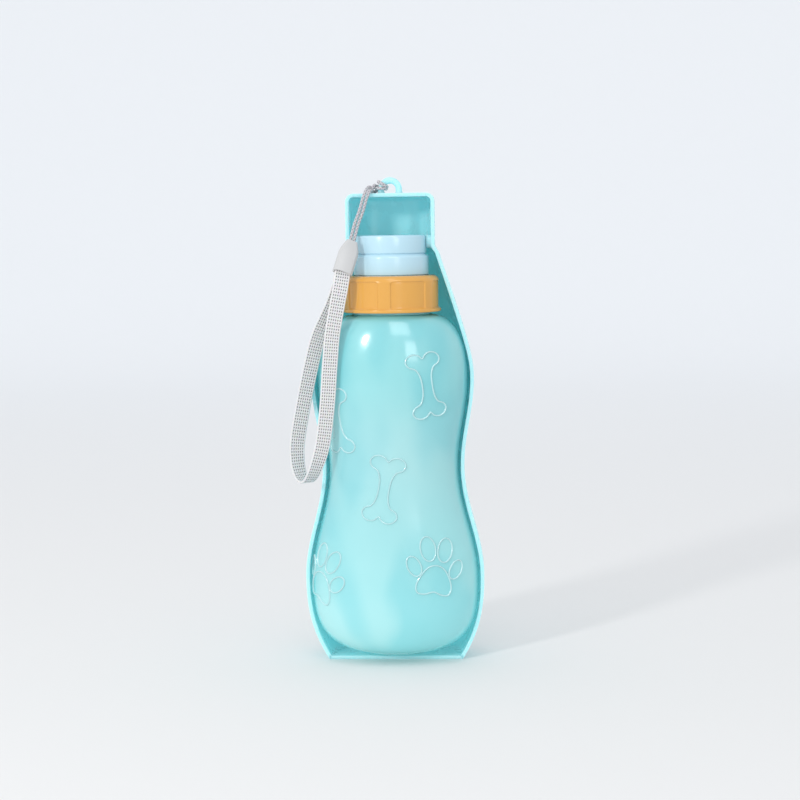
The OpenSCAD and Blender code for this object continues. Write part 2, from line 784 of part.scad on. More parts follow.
bottle_body();
neck_gasket();
head_base();
head_cap();
head_oring();
outlet_valve();
collar_slip_ring();
screw_collar();
tray_shell();
lanyard_knot();
cord_strand_front();
cord_strand_back();
strap_crimp();
strap_ferrule_front();
strap_ferrule_back();
strap_webbing();
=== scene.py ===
"""Dresses a dog's travel water bottle: bottle, drinking head, collar, folding tray and wrist strap."""

import math

import bmesh
import bpy
from bpy.props import FloatProperty, FloatVectorProperty, PointerProperty
from mathutils import Matrix, Quaternion, Vector


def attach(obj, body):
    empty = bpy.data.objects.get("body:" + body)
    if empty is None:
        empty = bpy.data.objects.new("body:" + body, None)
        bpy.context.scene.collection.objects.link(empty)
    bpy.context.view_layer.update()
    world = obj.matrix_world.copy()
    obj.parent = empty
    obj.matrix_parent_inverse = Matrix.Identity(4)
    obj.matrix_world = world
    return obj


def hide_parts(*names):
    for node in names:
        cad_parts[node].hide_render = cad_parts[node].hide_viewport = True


bl_info = {
    "name": "Dog Travel Water Bottle",
    "version": (1, 0, 0),
    "blender": (4, 5, 0),
    "location": "3D View > Sidebar > Travel Bottle",
    "description": "Makes the detailed pieces of a squeeze bottle that nests in its drinking tray",
    "category": "Add Mesh",
}

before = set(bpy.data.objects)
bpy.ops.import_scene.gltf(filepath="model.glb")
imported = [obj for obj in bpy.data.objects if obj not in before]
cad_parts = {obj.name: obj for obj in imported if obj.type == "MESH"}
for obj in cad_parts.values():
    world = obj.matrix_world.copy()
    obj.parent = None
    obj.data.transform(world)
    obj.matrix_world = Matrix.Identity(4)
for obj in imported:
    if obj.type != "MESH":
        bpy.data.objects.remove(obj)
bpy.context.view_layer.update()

MM = 0.001

# ---- heights above the tray's foot ----
BOTTLE_FLOOR = 2.9 * MM
LOWER_BELLY_Z = 38.6 * MM
WAIST_Z = 89.2 * MM
UPPER_BELLY_Z = 130.6 * MM
SHOULDER_Z = 159.3 * MM
NECK_TOP = 171.6 * MM
FLANGE_Z = 173.1 * MM
SLIP_Z = 174.9 * MM
LIP_Z = 175.2 * MM
COLLAR_BOTTOM = 160.5 * MM
COLLAR_TOP = 177.0 * MM
LOWER_TIER_TOP = 186.0 * MM
UPPER_TIER_Z = 187.0 * MM
SPIGOT_TOP = 190.6 * MM
LEDGE_Z = 191.7 * MM
PIVOT_Z = 192.2 * MM
HEAD_TOP = 195.2 * MM
TRAY_TOP = 214.2 * MM
EYE_Z = 215.9 * MM
THREAD_Z = 161.7 * MM

# ---- half sizes and radii ----
BELLY_HALF = (38.25 * MM, 29.7 * MM, 34.5 * MM)
BELLY_DEEP = (25.0 * MM, 21.5 * MM, 23.7 * MM)
BOTTLE_WALL = 1.0 * MM
NECK_R = 17.8 * MM
NECK_BORE = 15.4 * MM
THREAD_CREST_R = 18.8 * MM
THREAD_PITCH = 3.5 * MM
THREAD_TURNS = 1.5
RIDGE_SINK = 0.5 * MM
RIDGE_ROOT_HALF = 0.7 * MM
RIDGE_CREST_HALF = 0.3 * MM
FOOT_PUSH = 0.9 * MM
FOOT_ROWS = [  # share of the bottle's size, and of the push
    (0.04, 1.0),
    (0.14, 0.85),
    (0.24, 0.4),
    (0.31, 0.06),
    (0.36, 0.0),
]
BOTTOM_POWER = 3.1
SHOULDER_POWER = 2.2
CORNER_ROOM = 0.98  # share of an edge that the roundings at its two ends may use up

COLLAR_BORE = 19.15 * MM
COLLAR_CREST_R = 18.15 * MM
COLLAR_R = 21.35 * MM
COLLAR_LIP_R = 17.4 * MM
COLLAR_ROUND = 3.0 * MM
BAR_HEIGHT = 0.6 * MM
BAR_COUNT = 6
BAR_ANGLE = 14
BAR_PHASE = 5
BAND_H = 2.2 * MM
PANEL_CORNER = 1.5 * MM
BEAD_OUT = 1.3 * MM
BEAD_H = 1.6 * MM

LOWER_TIER_R = 17.1 * MM
UPPER_TIER_R = 16.1 * MM
FLANGE_R = 18.8 * MM
SKIRT_R = 15.1 * MM
SKIRT_DEPTH = 5.0 * MM
LIP_GROOVE = 0.5 * MM
HEAD_BORE = 13.9 * MM
SPIGOT_R = 13.0 * MM
SEAT_R = 10.6 * MM
OUTLET_R = 5.2 * MM
HEAD_WALL = 2.4 * MM
RING_R = 0.62 * MM
RING_GROOVE_Z = 188.8 * MM
SEAL_GAP = 0.05 * MM

TRAY_GAP = 1.2 * MM
TRAY_WALL = 1.6 * MM
RIM_FRONT = 4.5 * MM
TRAY_NECK_HALF = 18.6 * MM
TRAY_NECK_DEEP = 23.85 * MM
TRAY_BASE_HALF = 29.2 * MM
TRAY_BASE_DEEP = 22.5 * MM
TRAY_SLOPE = 0.34
SLOPE_ROUND = 13 * MM
TRAY_POWER = 3.6
BASE_POWER = 2.4
NECK_STEP = 3.5 * MM
TOP_CORNER = 3.8 * MM
PIN_R = 1.8 * MM
PIN_GAP = 0.06 * MM
BOSS_R = 3.0 * MM
BOSS_GAP = 0.25 * MM
SOCKET_X = 14.5 * MM

EYE_R = 4.05 * MM
EYE_BAR_R = 1.45 * MM
EYE_BACK = 0.5 * MM
EYE_FLARE = 0.30
EYE_FLARE_H = 1.2 * MM

# ---- wrist strap: the routes repeat the solids' own ----
STRAND_D = 1.5 * MM
STRAND_APART = 0.82 * MM
KNOT_GAP = 0.1 * MM
BIGHT_R = 2.0 * MM
BRAID_RELIEF = 0.2 * MM
BRAID_END = 0.45
BRAID_END_ROWS = 3
KNOT_SWELL = 0.04 * MM
KNOT_TURNS = [  # first angle on the eye, its drift, first angle round the bar, and points
    (176, -8, 60, 12),
    (148, -10, 90, 13),
]
BIGHT_X = [-6.7, -7.0, -7.7, -8.3, -8.2, -7.6, -7.0]
STRAND_GAP = 0.7 * MM
WEBBING_W = 7.0 * MM
WEBBING_T = 1.1 * MM
WEBBING_POWER = 12
WEAVE_COLUMNS = 7
WEAVE_MARGIN = 0.6
HOLE_HALF_W = 0.30
HOLE_HALF_H = 0.34
WEAVE_BODY = 0.92
RIB_RELIEF = 0.06
PLY_RELIEF = 0.05
HOLE_RELIEF = 0.45
FERRULE_W = 8.8 * MM
FERRULE_T = 5.0 * MM
FERRULE_LEN = 16.0 * MM
FERRULE_WALL = 0.75 * MM
FERRULE_TOP_W = 5.2 * MM
FERRULE_TOP_T = 4.2 * MM
FERRULE_RIDGE = 0.5 * MM
FERRULE_MOUTH = Vector((-20.6, -19.6, 178.6)) * MM
FERRULE_TURN = 12
CRIMP_Z = 6.2 * MM
CRIMP_TOP = 9.6 * MM
FERRULE_BEVEL = 0.28 * MM
FERRULE_TAPER = [  # share of the length, share of the narrowing, thickness, share of the ridge
    (0.0, 0.0, FERRULE_T, 1.0),
    (0.62, 0.0, FERRULE_T, 1.0),
    (0.74, 0.16, FERRULE_T * 0.96, 0.8),
    (0.86, 0.55, FERRULE_TOP_T, 0.5),
    (0.95, 0.86, FERRULE_TOP_T * 0.93, 0.0),
    (1.0, 1.0, FERRULE_TOP_T * 0.86, 0.0),
]
FERRULE_TILT = (
    Matrix.Rotation(math.radians(16), 3, "Y")
    @ Matrix.Rotation(math.radians(-25), 3, "X")
    @ Matrix.Rotation(math.radians(FERRULE_TURN), 3, "Z")
)
CORD_ROUTE = [  # place in millimetres, and how far the strands have turned side by side
    (-8.25, -0.4, 216.0, 0.2),
    (-8.9, -2.4, 216.4, 0.5),
    (-9.6, -5.4, 215.5, 0.8),
    (-10.9, -7.9, 212.0, 1.0),
    (-12.6, -9.3, 206.0, 1.0),
    (-14.8, -10.4, 200.0, 1.0),
]
WEBBING_ROUTE = [  # place in millimetres, and the turn of the flat side in degrees
    (-21.4, -21.4, 172, 12),
    (-23, -21.6, 164, 12),
    (-25.4, -21.4, 151, 12),
    (-26.8, -20.8, 137, 12),
    (-28.5, -20, 118, 14),
    (-30.9, -19, 101.5, 18),
    (-33.9, -17.6, 91.7, 28),
    (-36.9, -15.2, 85.7, 38),
    (-39.4, -12.2, 83.9, 44),
    (-41.9, -9.2, 85.7, 38),
    (-43.6, -7.4, 91.7, 28),
    (-43.6, -7.2, 101.5, 18),
    (-40.6, -8.4, 118, 14),
    (-36.2, -10.8, 137, 12),
    (-32, -13.4, 151, 12),
    (-25.6, -17, 164, 12),
    (-22.4, -19, 172, 12),
]

# ---- how finely the shapes are cut: sides round a form, and rows along it ----
BOTTLE_SIDES = 112
COLLAR_SIDES = 540
HEAD_SIDES = 160
PIN_SIDES = 48
SOCKET_SIDES = 40
EYE_SIDES = 28
CORD_SIDES = 20
WEBBING_SIDES = 104
TRAY_SIDES = 72
THREAD_SIDES = 48
TOE_SIDES = 10
FLOOR_COLUMNS = 24
FLOOR_ROWS = 96
BELLY_ROWS = 44
EYE_ROWS = 32
ROWS_PER_WEAVE = 5
BRAID_ROW = 0.16 * MM
KNOT_ROW = 0.2 * MM

# ---- studio, in metres ----
CAMERA_PLACE = (0.060, -0.8916, 0.200)
CAMERA_AIM = (0.0032, 0.0, 0.1198)
CAMERA_ROLL = -0.84
CAMERA_LENS = 88.0
LIGHT_AIM = (0.0, 0.0, 0.12)
FLOOR_HALF_W = 4.0
FLOOR_FRONT = -2.5
FLOOR_LENGTH = 8.5
SWEEP_FROM = 1.6
SWEEP_R = 1.2

# ---- embossed motifs: centre angle round the bottle from its front, height, tilt, size ----
BONES = [
    (29.3, 128.0, 9, 1.0),
    (-6.3, 81.4, -10, 1.02),
    (-50.0, 112.0, 2, 1.0),
    (150.0, 110.0, 8, 1.0),
    (-150.0, 80.0, -8, 1.0),
]
PAWS = [
    (31.5, 46.0, -8, 1.05),
    (-59.0, 41.5, -20, 1.04),
    (165.0, 45.0, 8, 1.0),
]


# ---- values a user may change ----
def length_property(name, description, default, low, high):
    """A length whose default and limits are given in millimetres."""
    return FloatProperty(
        name=name,
        description=description,
        default=default * MM,
        min=low * MM,
        max=high * MM,
        unit="LENGTH",
    )


def colour_property(name, description, default):
    return FloatVectorProperty(
        name=name,
        description=description,
        default=default,
        min=0.0,
        max=1.0,
        size=3,
        subtype="COLOR",
    )


class TravelBottleSizes(bpy.types.PropertyGroup):
    emboss_width: length_property(
        "Emboss Width", "Width of the raised line that draws a bone or a paw", 0.85, 0.4, 1.6
    )
    emboss_height: length_property(
        "Emboss Height", "Height of that line over the bottle's skin", 0.55, 0.1, 0.8
    )
    rim_round: length_property(
        "Rim Rounding", "Rounding of the tray's rim and outer corners", 0.5, 0.1, 0.7
    )
    bar_round: length_property(
        "Grip Bar Rounding", "Rounding of the screw collar's grip bars", 0.6, 0.1, 0.8
    )
    panel_depth: FloatProperty(
        name="Grip Panel Depth",
        description="How deep the collar's panels are, as a share of the grip bars' height",
        default=0.8,
        min=0.2,
        max=1.0,
        subtype="FACTOR",
    )
    weave_pitch: length_property(
        "Weave Pitch", "Distance between two rows of the woven loop", 1.38, 0.8, 2.0
    )
    braid_pitch: length_property("Braid Pitch", "Length of one braid of the thin cord", 1.7, 1.0, 4.0)


class TravelBottleColours(bpy.types.PropertyGroup):
    bottle: colour_property("Bottle", "Colour of the blown bottle", (0.25, 0.71, 0.74))
    tray: colour_property("Tray", "Colour of the moulded tray", (0.43, 0.80, 0.86))
    head: colour_property("Head", "Colour of the drinking head", (0.48, 0.71, 0.82))
    collar: colour_property("Collar", "Colour of the screw collar", (0.74, 0.37, 0.07))
    cord: colour_property("Cord", "Colour of the thin cord", (0.62, 0.60, 0.63))
    webbing: colour_property("Webbing", "Colour of the woven loop", (0.84, 0.83, 0.83))
    ferrule: colour_property("Ferrule", "Colour of the strap's ferrule", (0.56, 0.56, 0.56))
    # Floor and backdrop colours are the two ends of the floor's painted shading, darker in front
    floor: colour_property("Floor", "Colour of the studio floor", (0.80, 0.79, 0.78))
    backdrop: colour_property("Backdrop", "Colour the floor takes behind", (0.92, 0.93, 0.945))


def sizes():
    return bpy.context.scene.travel_bottle_sizes


def colours():
    return bpy.context.scene.travel_bottle_colours


# ---- small shared functions ----
def mix(a, b, t):
    return a + (b - a) * t


def clamp01(t):
    return min(1.0, max(0.0, t))


def ease(t):
    return (1 - math.cos(math.pi * t)) / 2


def power(base, exponent):
    return max(0.0, base) ** exponent


def signed_power(base, exponent):
    return math.copysign(abs(base) ** exponent, base)


def wave(z, lower, waist, upper):
    """Half size between the bellies and the waist."""
    if z < WAIST_Z:
        return mix(lower, waist, ease((z - LOWER_BELLY_Z) / (WAIST_Z - LOWER_BELLY_Z)))
    return mix(waist, upper, ease((z - WAIST_Z) / (UPPER_BELLY_Z - WAIST_Z)))


def spline_at(points, k, t):
    """Catmull-Rom curve through tuples of any length."""
    last = len(points) - 1
    a = points[max(k - 1, 0)]
    b = points[k]
    c = points[k + 1]
    d = points[min(k + 2, last)]
    return tuple(
        0.5
        * (
            2 * q
            + (r - p) * t
            + (2 * p - 5 * q + 4 * r - s) * t * t
            + (3 * q - p - 3 * r + s) * t**3
        )
        for p, q, r, s in zip(a, b, c, d)
    )


def spline(points, steps, closed=False):
    """Smooth curve through points, open with both its ends or closed without a repeated one."""
    if closed:
        ring = [points[-1], *points, *points[:2]]
        return [spline_at(ring, k, i / steps) for k in range(1, len(points) + 1) for i in range(steps)]
    curve = [spline_at(points, k, i / steps) for k in range(len(points) - 1) for i in range(steps)]
    return curve + [tuple(points[-1])]


def equal_steps(points, count):
    """Places of equal spacing along a chain, each as the number of its span and a share of it."""
    lengths = [0.0]
    for a, b in zip(points, points[1:]):
        lengths.append(lengths[-1] + (Vector(b[:3]) - Vector(a[:3])).length)
    places = []
    k = 0
    for i in range(count + 1):
        goal = lengths[-1] * i / count
        while k < len(points) - 2 and lengths[k + 1] < goal:
            k += 1
        places.append((k, clamp01((goal - lengths[k]) / (lengths[k + 1] - lengths[k]))))
    return places


def resample(points, step):
    """Points of equal spacing along a chain, with its two ends kept."""
    count = max(2, round(chain_length(points) / step))
    return [Vector(points[k]).lerp(Vector(points[k + 1]), t) for k, t in equal_steps(points, count)]


def chain_length(points):
    vectors = [Vector(p[:3]) for p in points]
    return sum((b - a).length for a, b in zip(vectors, vectors[1:]))


def rounded(points, steps=4):
    """Profile with its corners rounded: each point is r, z and the corner's radius."""
    out = []
    n = len(points)
    for k in range(n):
        r, z, radius = points[k]
        here = Vector((r, z))
        if radius <= 0:
            out.append((r, z))
            continue
        last, following = points[k - 1], points[(k + 1) % n]
        before = Vector(last[:2]) - here
        after = Vector(following[:2]) - here
        half = before.angle(after) / 2
        room = min(
            before.length * CORNER_ROOM * radius / (radius + last[2]),
            after.length * CORNER_ROOM * radius / (radius + following[2]),
        )
        cut = min(radius / math.tan(half), room)
        reach = cut * math.tan(half)
        centre = here + (before.normalized() + after.normalized()).normalized() * reach / math.sin(half)
        start = here + before.normalized() * cut - centre
        end = here + after.normalized() * cut - centre
        for i in range(steps + 1):
            point = centre + start.slerp(end, i / steps).normalized() * reach
            out.append((point.x, point.y))
    return out


def split_outside(profile, inner_r, step):
    """Profile with extra points on its long edges beyond a radius."""
    out = []
    for a, b in zip(profile, profile[1:] + profile[:1]):
        out.append(a)
        length = math.hypot(b[0] - a[0], b[1] - a[1])
        if min(a[0], b[0]) > inner_r and length > step:
            count = math.ceil(length / step)
            for i in range(1, count):
                out.append((mix(a[0], b[0], i / count), mix(a[1], b[1], i / count)))
    return out


# ---- making pieces ----
def add_object(name, bm, finish):
    """Turns a bmesh into a smooth object with its finish."""
    bmesh.ops.recalc_face_normals(bm, faces=bm.faces)
    mesh = bpy.data.meshes.new(name)
    bm.to_mesh(mesh)
    bm.free()
    if not mesh.polygons:
        raise RuntimeError(f"{name} has no faces")
    mesh.materials.append(bpy.data.materials[finish])
    mesh.shade_smooth()
    thing = bpy.data.objects.new(name, mesh)
    bpy.context.scene.collection.objects.link(thing)
    return thing


def place_piece(name, bm, finish, body, nodes=(), angle=38):
    """Makes a piece that rides on a body, and stands for its nodes if it has any."""
    piece = add_object(name, bm, finish)
    piece.data.set_sharp_from_angle(angle=math.radians(angle))
    if nodes:
        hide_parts(*nodes)
    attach(piece, body)
    return piece


def chain(bm, points, close):
    """A chain of vertices and edges to spin or extrude."""
    verts = [bm.verts.new(p) for p in points]
    edges = [bm.edges.new(pair) for pair in zip(verts, verts[1:])]
    if close:
        edges.append(bm.edges.new((verts[-1], verts[0])))
    return verts + edges


def spin_round(bm, geom, steps, centre=(0, 0, 0), axis=(0, 0, 1)):
    """Spins vertices and edges once round an axis."""
    bmesh.ops.spin(
        bm,
        geom=geom,
        cent=centre,
        axis=axis,
        angle=2 * math.pi,
        steps=steps,
        use_merge=True,
    )


def tower(bm, rings, around, capped=True):
    """A circle extruded through rings; ring(turn) gives the place of the vertex at that turn."""
    turn = bm.verts.layers.float.new("turn")
    verts = bmesh.ops.create_circle(bm, segments=around, radius=1.0)["verts"]
    for v in verts:
        v[turn] = math.atan2(v.co.y, v.co.x)
    edges = list({e for v in verts for e in v.link_edges})
    first = list(verts)
    for v in verts:
        v.co = rings[0](v[turn])
    for ring in rings[1:]:
        made = bmesh.ops.extrude_edge_only(bm, edges=edges)["geom"]
        verts = [g for g in made if isinstance(g, bmesh.types.BMVert)]
        edges = edges_among(verts, [g for g in made if isinstance(g, bmesh.types.BMEdge)])
        for v in verts:
            v.co = ring(v[turn])
    if capped:
        bmesh.ops.contextual_create(bm, geom=first)
        bmesh.ops.contextual_create(bm, geom=verts)
    return first, edges


def edges_among(verts, edges):
    known = set(verts)
    return [e for e in edges if e.verts[0] in known and e.verts[1] in known]


def oval_ring(half, deep, z):
    """Ring for a tower: an ellipse round the bottle's axis."""
    return lambda turn: Vector((half * math.cos(turn), deep * math.sin(turn), z))


def grid_sheet(bm, columns, rows, place):
    """A grid whose vertex (i, j) is put where place says; gives each vertex with its i and j."""
    made = []
    for v in bmesh.ops.create_grid(bm, x_segments=columns, y_segments=rows, size=1.0)["verts"]:
        i = round((v.co.x + 1) / 2 * columns)
        j = round((v.co.y + 1) / 2 * rows)
        v.co = place(i, j)
        made.append((v, i, j))
    return made


def sweep_frames(path):
    """A place, a forward direction and two side directions for each point of a path."""
    points = [Vector(p) for p in path]
    forward = []
    last = len(points) - 1
    for k in range(last + 1):
        forward.append((points[min(k + 1, last)] - points[max(k - 1, 0)]).normalized())
    side = forward[0].cross(Vector((0, 0, 1)))
    if side.length < 0.1:
        side = forward[0].cross(Vector((0, 1, 0)))
    side.normalize()
    frames = []
    for k, ahead in enumerate(forward):
        side = (side - ahead * side.dot(ahead)).normalized()
        frames.append((points[k], ahead, side, ahead.cross(side)))
    return frames


def braided_tube(bm, path, radius):
    """A tube along a path whose skin is braided from two sets of yarns."""
    pitch = sizes().braid_pitch
    frames = sweep_frames(path)
    step = (frames[1][0] - frames[0][0]).length
    last_row = len(frames) - 1
    # The relief layer marks the braid's hollows, which the cord's material darkens as painted shade
    depth = bm.verts.layers.float.new("relief")

    def ring(k):
        centre, _, side, up = frames[k]

        def place(turn):
            along = k * step / pitch * 2 * math.pi
            crown = max(math.sin(3 * turn + along), math.sin(3 * turn - along))
            end = mix(BRAID_END, 1.0, clamp01(min(k, last_row - k) / BRAID_END_ROWS))
            reach = (radius - BRAID_RELIEF * (1 - crown) / 2) * end
            return centre + (side * math.cos(turn) + up * math.sin(turn)) * reach

        return place

    tower(bm, [ring(k) for k in range(len(frames))], CORD_SIDES)
    bm.verts.index_update()
    for v in bm.verts:
        k = v.index // CORD_SIDES
        reach = (v.co - frames[min(k, last_row)][0]).length
        v[depth] = clamp01(1 - (radius - reach) / BRAID_RELIEF)


def add_bevel(piece, width, angle):
    bevel = piece.modifiers.new("edge_rounding", "BEVEL")
    bevel.width = width
    bevel.segments = 3
    bevel.limit_method = "ANGLE"
    bevel.angle_limit = math.radians(angle)
    bevel.profile = 0.5
    bevel.material = -1
    bevel.harden_normals = False


def add_wall(piece, thickness, outward):
    """Thickens a sheet inwards; outward says whether its faces point out."""
    wall = piece.modifiers.new("wall", "SOLIDIFY")
    wall.thickness = thickness
    wall.offset = -1.0 if outward else 1.0
    wall.use_even_offset = True
    wall.use_rim = True


# ---- materials ----
def set_inputs(node, values):
    """Gives inputs their values; a value that is another node's socket is linked instead."""
    for name, value in values.items():
        if isinstance(value, bpy.types.NodeSocket):
            node.id_data.links.new(value, node.inputs[name])
        else:
            node.inputs[name].default_value = value


def add_node(tree, kind, values=None, **settings):
    """A shader node with its settings, and then its inputs."""
    node = tree.nodes.new("ShaderNode" + kind)
    for name, value in settings.items():
        setattr(node, name, value)
    set_inputs(node, values or {})
    return node


def add_place(tree):
    return add_node(tree, "TexCoord").outputs["Object"]


def add_axis(tree, place, axis):
    return add_node(tree, "SeparateXYZ", {"Vector": place}).outputs[axis]


def add_stretch(tree, place, height):
    """A place whose patterns come out taller where height is below one."""
    return add_node(tree, "Mapping", {"Vector": place, "Scale": (1.0, 1.0, height)}).outputs["Vector"]


def add_noise(tree, place, scale, detail=2.0):
    return add_node(tree, "TexNoise", {"Vector": place, "Scale": scale, "Detail": detail})


def add_range(tree, value, start=0.0, end=1.0, low=0.0, high=1.0, soft=False):
    """Turns a value between start and end into one between low and high."""
    values = {"Value": value, "From Min": start, "From Max": end, "To Min": low, "To Max": high}
    kind = "SMOOTHSTEP" if soft else "LINEAR"
    return add_node(tree, "MapRange", values, interpolation_type=kind).outputs["Result"]


def add_mix(tree, share, first, second, way="MIX"):
    """Two colours mixed by a share; each of the three is a value or a socket."""
    values = {"Factor": share, "A": first, "B": second}
    return add_node(tree, "Mix", values, data_type="RGBA", blend_type=way).outputs["Result"]


def add_bump(tree, height, strength, distance):
    values = {"Height": height, "Strength": strength, "Distance": distance}
    return add_node(tree, "Bump", values).outputs["Normal"]


def make_skin_group():
    """Colour drift, uneven gloss and fine peel of a moulded skin."""
    group = bpy.data.node_groups.new("moulded_skin", "ShaderNodeTree")
    for name, direction, kind in (
        ("Light Colour", "INPUT", "Color"),
        ("Deep Colour", "INPUT", "Color"),
        ("Drift Scale", "INPUT", "Float"),
        ("Gloss Low", "INPUT", "Float"),
        ("Gloss High", "INPUT", "Float"),
        ("Peel", "INPUT", "Float"),
        ("Colour", "OUTPUT", "Color"),
        ("Roughness", "OUTPUT", "Float"),
        ("Normal", "OUTPUT", "Vector"),
    ):
        group.interface.new_socket(name=name, in_out=direction, socket_type="NodeSocket" + kind)
    given = group.nodes.new("NodeGroupInput").outputs
    place = add_place(group)
    drift = add_noise(group, place, given["Drift Scale"], 3.0).outputs["Fac"]
    gloss = add_noise(group, place, 140.0, 4.0).outputs["Fac"]
    peel = add_noise(group, place, 900.0).outputs["Fac"]
    colour = add_mix(group, drift, given["Light Colour"], given["Deep Colour"])
    roughness = add_range(group, gloss, low=given["Gloss Low"], high=given["Gloss High"])
    normal = add_bump(group, peel, given["Peel"], 0.1 * MM)
    leave = group.nodes.new("NodeGroupOutput")
    set_inputs(leave, {"Colour": colour, "Roughness": roughness, "Normal": normal})


def shade(colour, light, grey=0.0):
    """A colour made lighter or darker, and pulled towards grey."""
    mean = sum(colour) / 3
    return tuple(clamp01(mix(c, mean, grey) * light) for c in colour) + (1.0,)


def whitened(colour, share):
    """A colour moved towards white, or away from it where the share is negative."""
    return tuple(clamp01(mix(c, 1.0, share)) for c in colour) + (1.0,)


def new_material(name):
    material = bpy.data.materials.new(name)
    material.use_nodes = True
    tree = material.node_tree
    return material, tree, tree.nodes["Principled BSDF"]


def add_skin(tree, shader, light, deep, gloss, peel, drift):
    """The moulded skin between two colours; gives its colour and wires the rest to the shader."""
    values = {"Light Colour": light, "Deep Colour": deep, "Drift Scale": drift}
    values.update({"Gloss Low": gloss[0], "Gloss High": gloss[1], "Peel": peel})
    skin = add_node(tree, "Group", values, node_tree=bpy.data.node_groups["moulded_skin"]).outputs
    set_inputs(shader, {"Roughness": skin["Roughness"], "Normal": skin["Normal"]})
    return skin["Colour"]


def moulded_material(name, colour, gloss, peel, drift=30.0, spread=0.10):
    """Moulded plastic or rubber with colour drift, uneven gloss and peel."""
    material, tree, shader = new_material(name)
    light = shade(colour, 1.0 + spread, 0.04)
    deep = shade(colour, 1.0 - spread)
    set_inputs(shader, {"Base Color": add_skin(tree, shader, light, deep, gloss, peel, drift)})
    return material, shader


def add_painted_glow(material, shader, low, high, top_z):
    """Painted glow: emission, kept out of light sampling, that stands in for light carried through
    clear plastic, fading from one tint at the floor to another above.
    """
    tree = material.node_tree
    share = add_range(tree, add_axis(tree, add_place(tree), "Z"), end=top_z, soft=True)
    painted_glow = add_mix(tree, share, low + (1.0,), high + (1.0,))
    set_inputs(shader, {"Emission Color": painted_glow, "Emission Strength": 1.0})
    material.cycles.emission_sampling = "NONE"


# Painted light and shade: share of white in the bottle's colour, from its foot at 0 to its shoulder at
# 1; paler bands stand in for light and darker ones for shade
BOTTLE_PAINTED_LIGHT = [(0.0, 0.16), (0.13, 0.24), (0.31, -0.03), (0.60, 0.17), (0.80, -0.10), (1.0, 0.04)]


def bottle_material(name, colour):
    """Milky blown plastic with painted light and shade: paler at the waist and foot and darker at the
    bellies, with soft deeper clouds, deep edges and a painted glow.
    """
    material, tree, shader = new_material(name)
    place = add_place(tree)
    height = add_range(tree, add_axis(tree, place, "Z"), end=SHOULDER_Z)
    # Painted light and shade by height over the bottle
    ramp = add_node(tree, "ValToRGB", {"Fac": height})
    stops = ramp.color_ramp.elements
    ramp.color_ramp.interpolation = "B_SPLINE"
    while len(stops) < len(BOTTLE_PAINTED_LIGHT):
        stops.new(0.5)
    for stop, (position, share) in zip(stops, BOTTLE_PAINTED_LIGHT):
        stop.position = position
        stop.color = whitened(colour, share)
    cloud = add_noise(tree, add_stretch(tree, place, 0.55), 38.0, 1.0).outputs["Fac"]
    patch = add_range(tree, cloud, 0.41, 0.60, high=0.72, soft=True)
    deep = add_mix(tree, patch, ramp.outputs["Color"], (0.40, 0.84, 0.90, 1.0), "MULTIPLY")
    pale = add_mix(tree, 0.38, deep, (0.80, 0.95, 0.95, 1.0))
    skin = add_skin(tree, shader, pale, deep, (0.14, 0.24), 0.05, 14.0)
    facing = add_node(tree, "LayerWeight", {"Blend": 0.4}).outputs["Facing"]
    edge = add_range(tree, facing, 0.35, 0.95, high=0.45)
    edge_colour = (colour[0] * 0.45, colour[1] * 0.86, colour[2] * 0.88, 1.0)
    set_inputs(shader, {"Base Color": add_mix(tree, edge, skin, edge_colour)})
    set_inputs(shader, {"Alpha": 0.78, "IOR": 1.5, "Coat Weight": 0.8, "Coat Roughness": 0.08})
    # Painted glow, strongest at the foot, standing in for light carried through the bottle
    add_painted_glow(material, shader, (0.040, 0.125, 0.118), (0.009, 0.028, 0.027), LOWER_BELLY_Z * 2)


def motif_material(name, colour):
    """Glossy plastic of the raised lines, painted paler than the bottle to stand in for the highlights
    along them.
    """
    # Paler colour: painted highlight on the raised lines
    _, shader = moulded_material(name, whitened(colour, 0.35)[:3], (0.08, 0.16), 0.04, 40.0, 0.04)
    set_inputs(shader, {"Alpha": 0.85, "Coat Weight": 1.0, "Coat Roughness": 0.06})


def tray_material(name, colour):
    """Clear moulded plastic with a painted glow that stands in for light carried through its wall,
    strongest low down.
    """
    material, shader = moulded_material(name, colour, (0.22, 0.34), 0.06, 26.0, 0.06)
    set_inputs(shader, {"Subsurface Weight": 0.75, "Subsurface Scale": 4 * MM})
    set_inputs(shader, {"Subsurface Radius": (0.6, 1.0, 1.0)})
    # Painted glow, strongest low down, standing in for light carried through the tray's wall
    add_painted_glow(material, shader, (0.050, 0.100, 0.104), (0.015, 0.032, 0.034), UPPER_BELLY_Z)


def woven_material(name, colour, hollow_shade):
    """Yarns with painted shade in their hollows: where the relief attribute is low they are darker than
    their crowns.
    """
    _, tree, shader = new_material(name)
    relief = add_node(tree, "Attribute", attribute_name="relief").outputs["Fac"]
    fibres = add_noise(tree, add_stretch(tree, add_place(tree), 0.35), 2600.0, 3.0).outputs
    # Painted shade: the ramp darkens the hollows and lightens the crowns
    ramp = add_node(tree, "ValToRGB", {"Fac": relief})
    for stop, position, light in zip(ramp.color_ramp.elements, (0.15, 0.75), (hollow_shade, 1.06)):
        stop.position = position
        stop.color = shade(colour, light)
    fuzz = add_mix(tree, 0.35, ramp.outputs["Color"], fibres["Color"], "MULTIPLY")
    bump = add_bump(tree, fibres["Fac"], 0.5, 0.12 * MM)
    set_inputs(shader, {"Base Color": fuzz, "Normal": bump, "Roughness": 0.72, "Sheen Weight": 0.25})


def metal_material(name):
    """Folded sheet metal with faint rolling marks."""
    _, tree, shader = new_material(name)
    marks = add_noise(tree, add_place(tree), 500.0).outputs["Fac"]
    set_inputs(shader, {"Roughness": add_range(tree, marks, low=0.25, high=0.45)})
    set_inputs(shader, {"Base Color": (0.62, 0.62, 0.60, 1.0), "Metallic": 1.0})


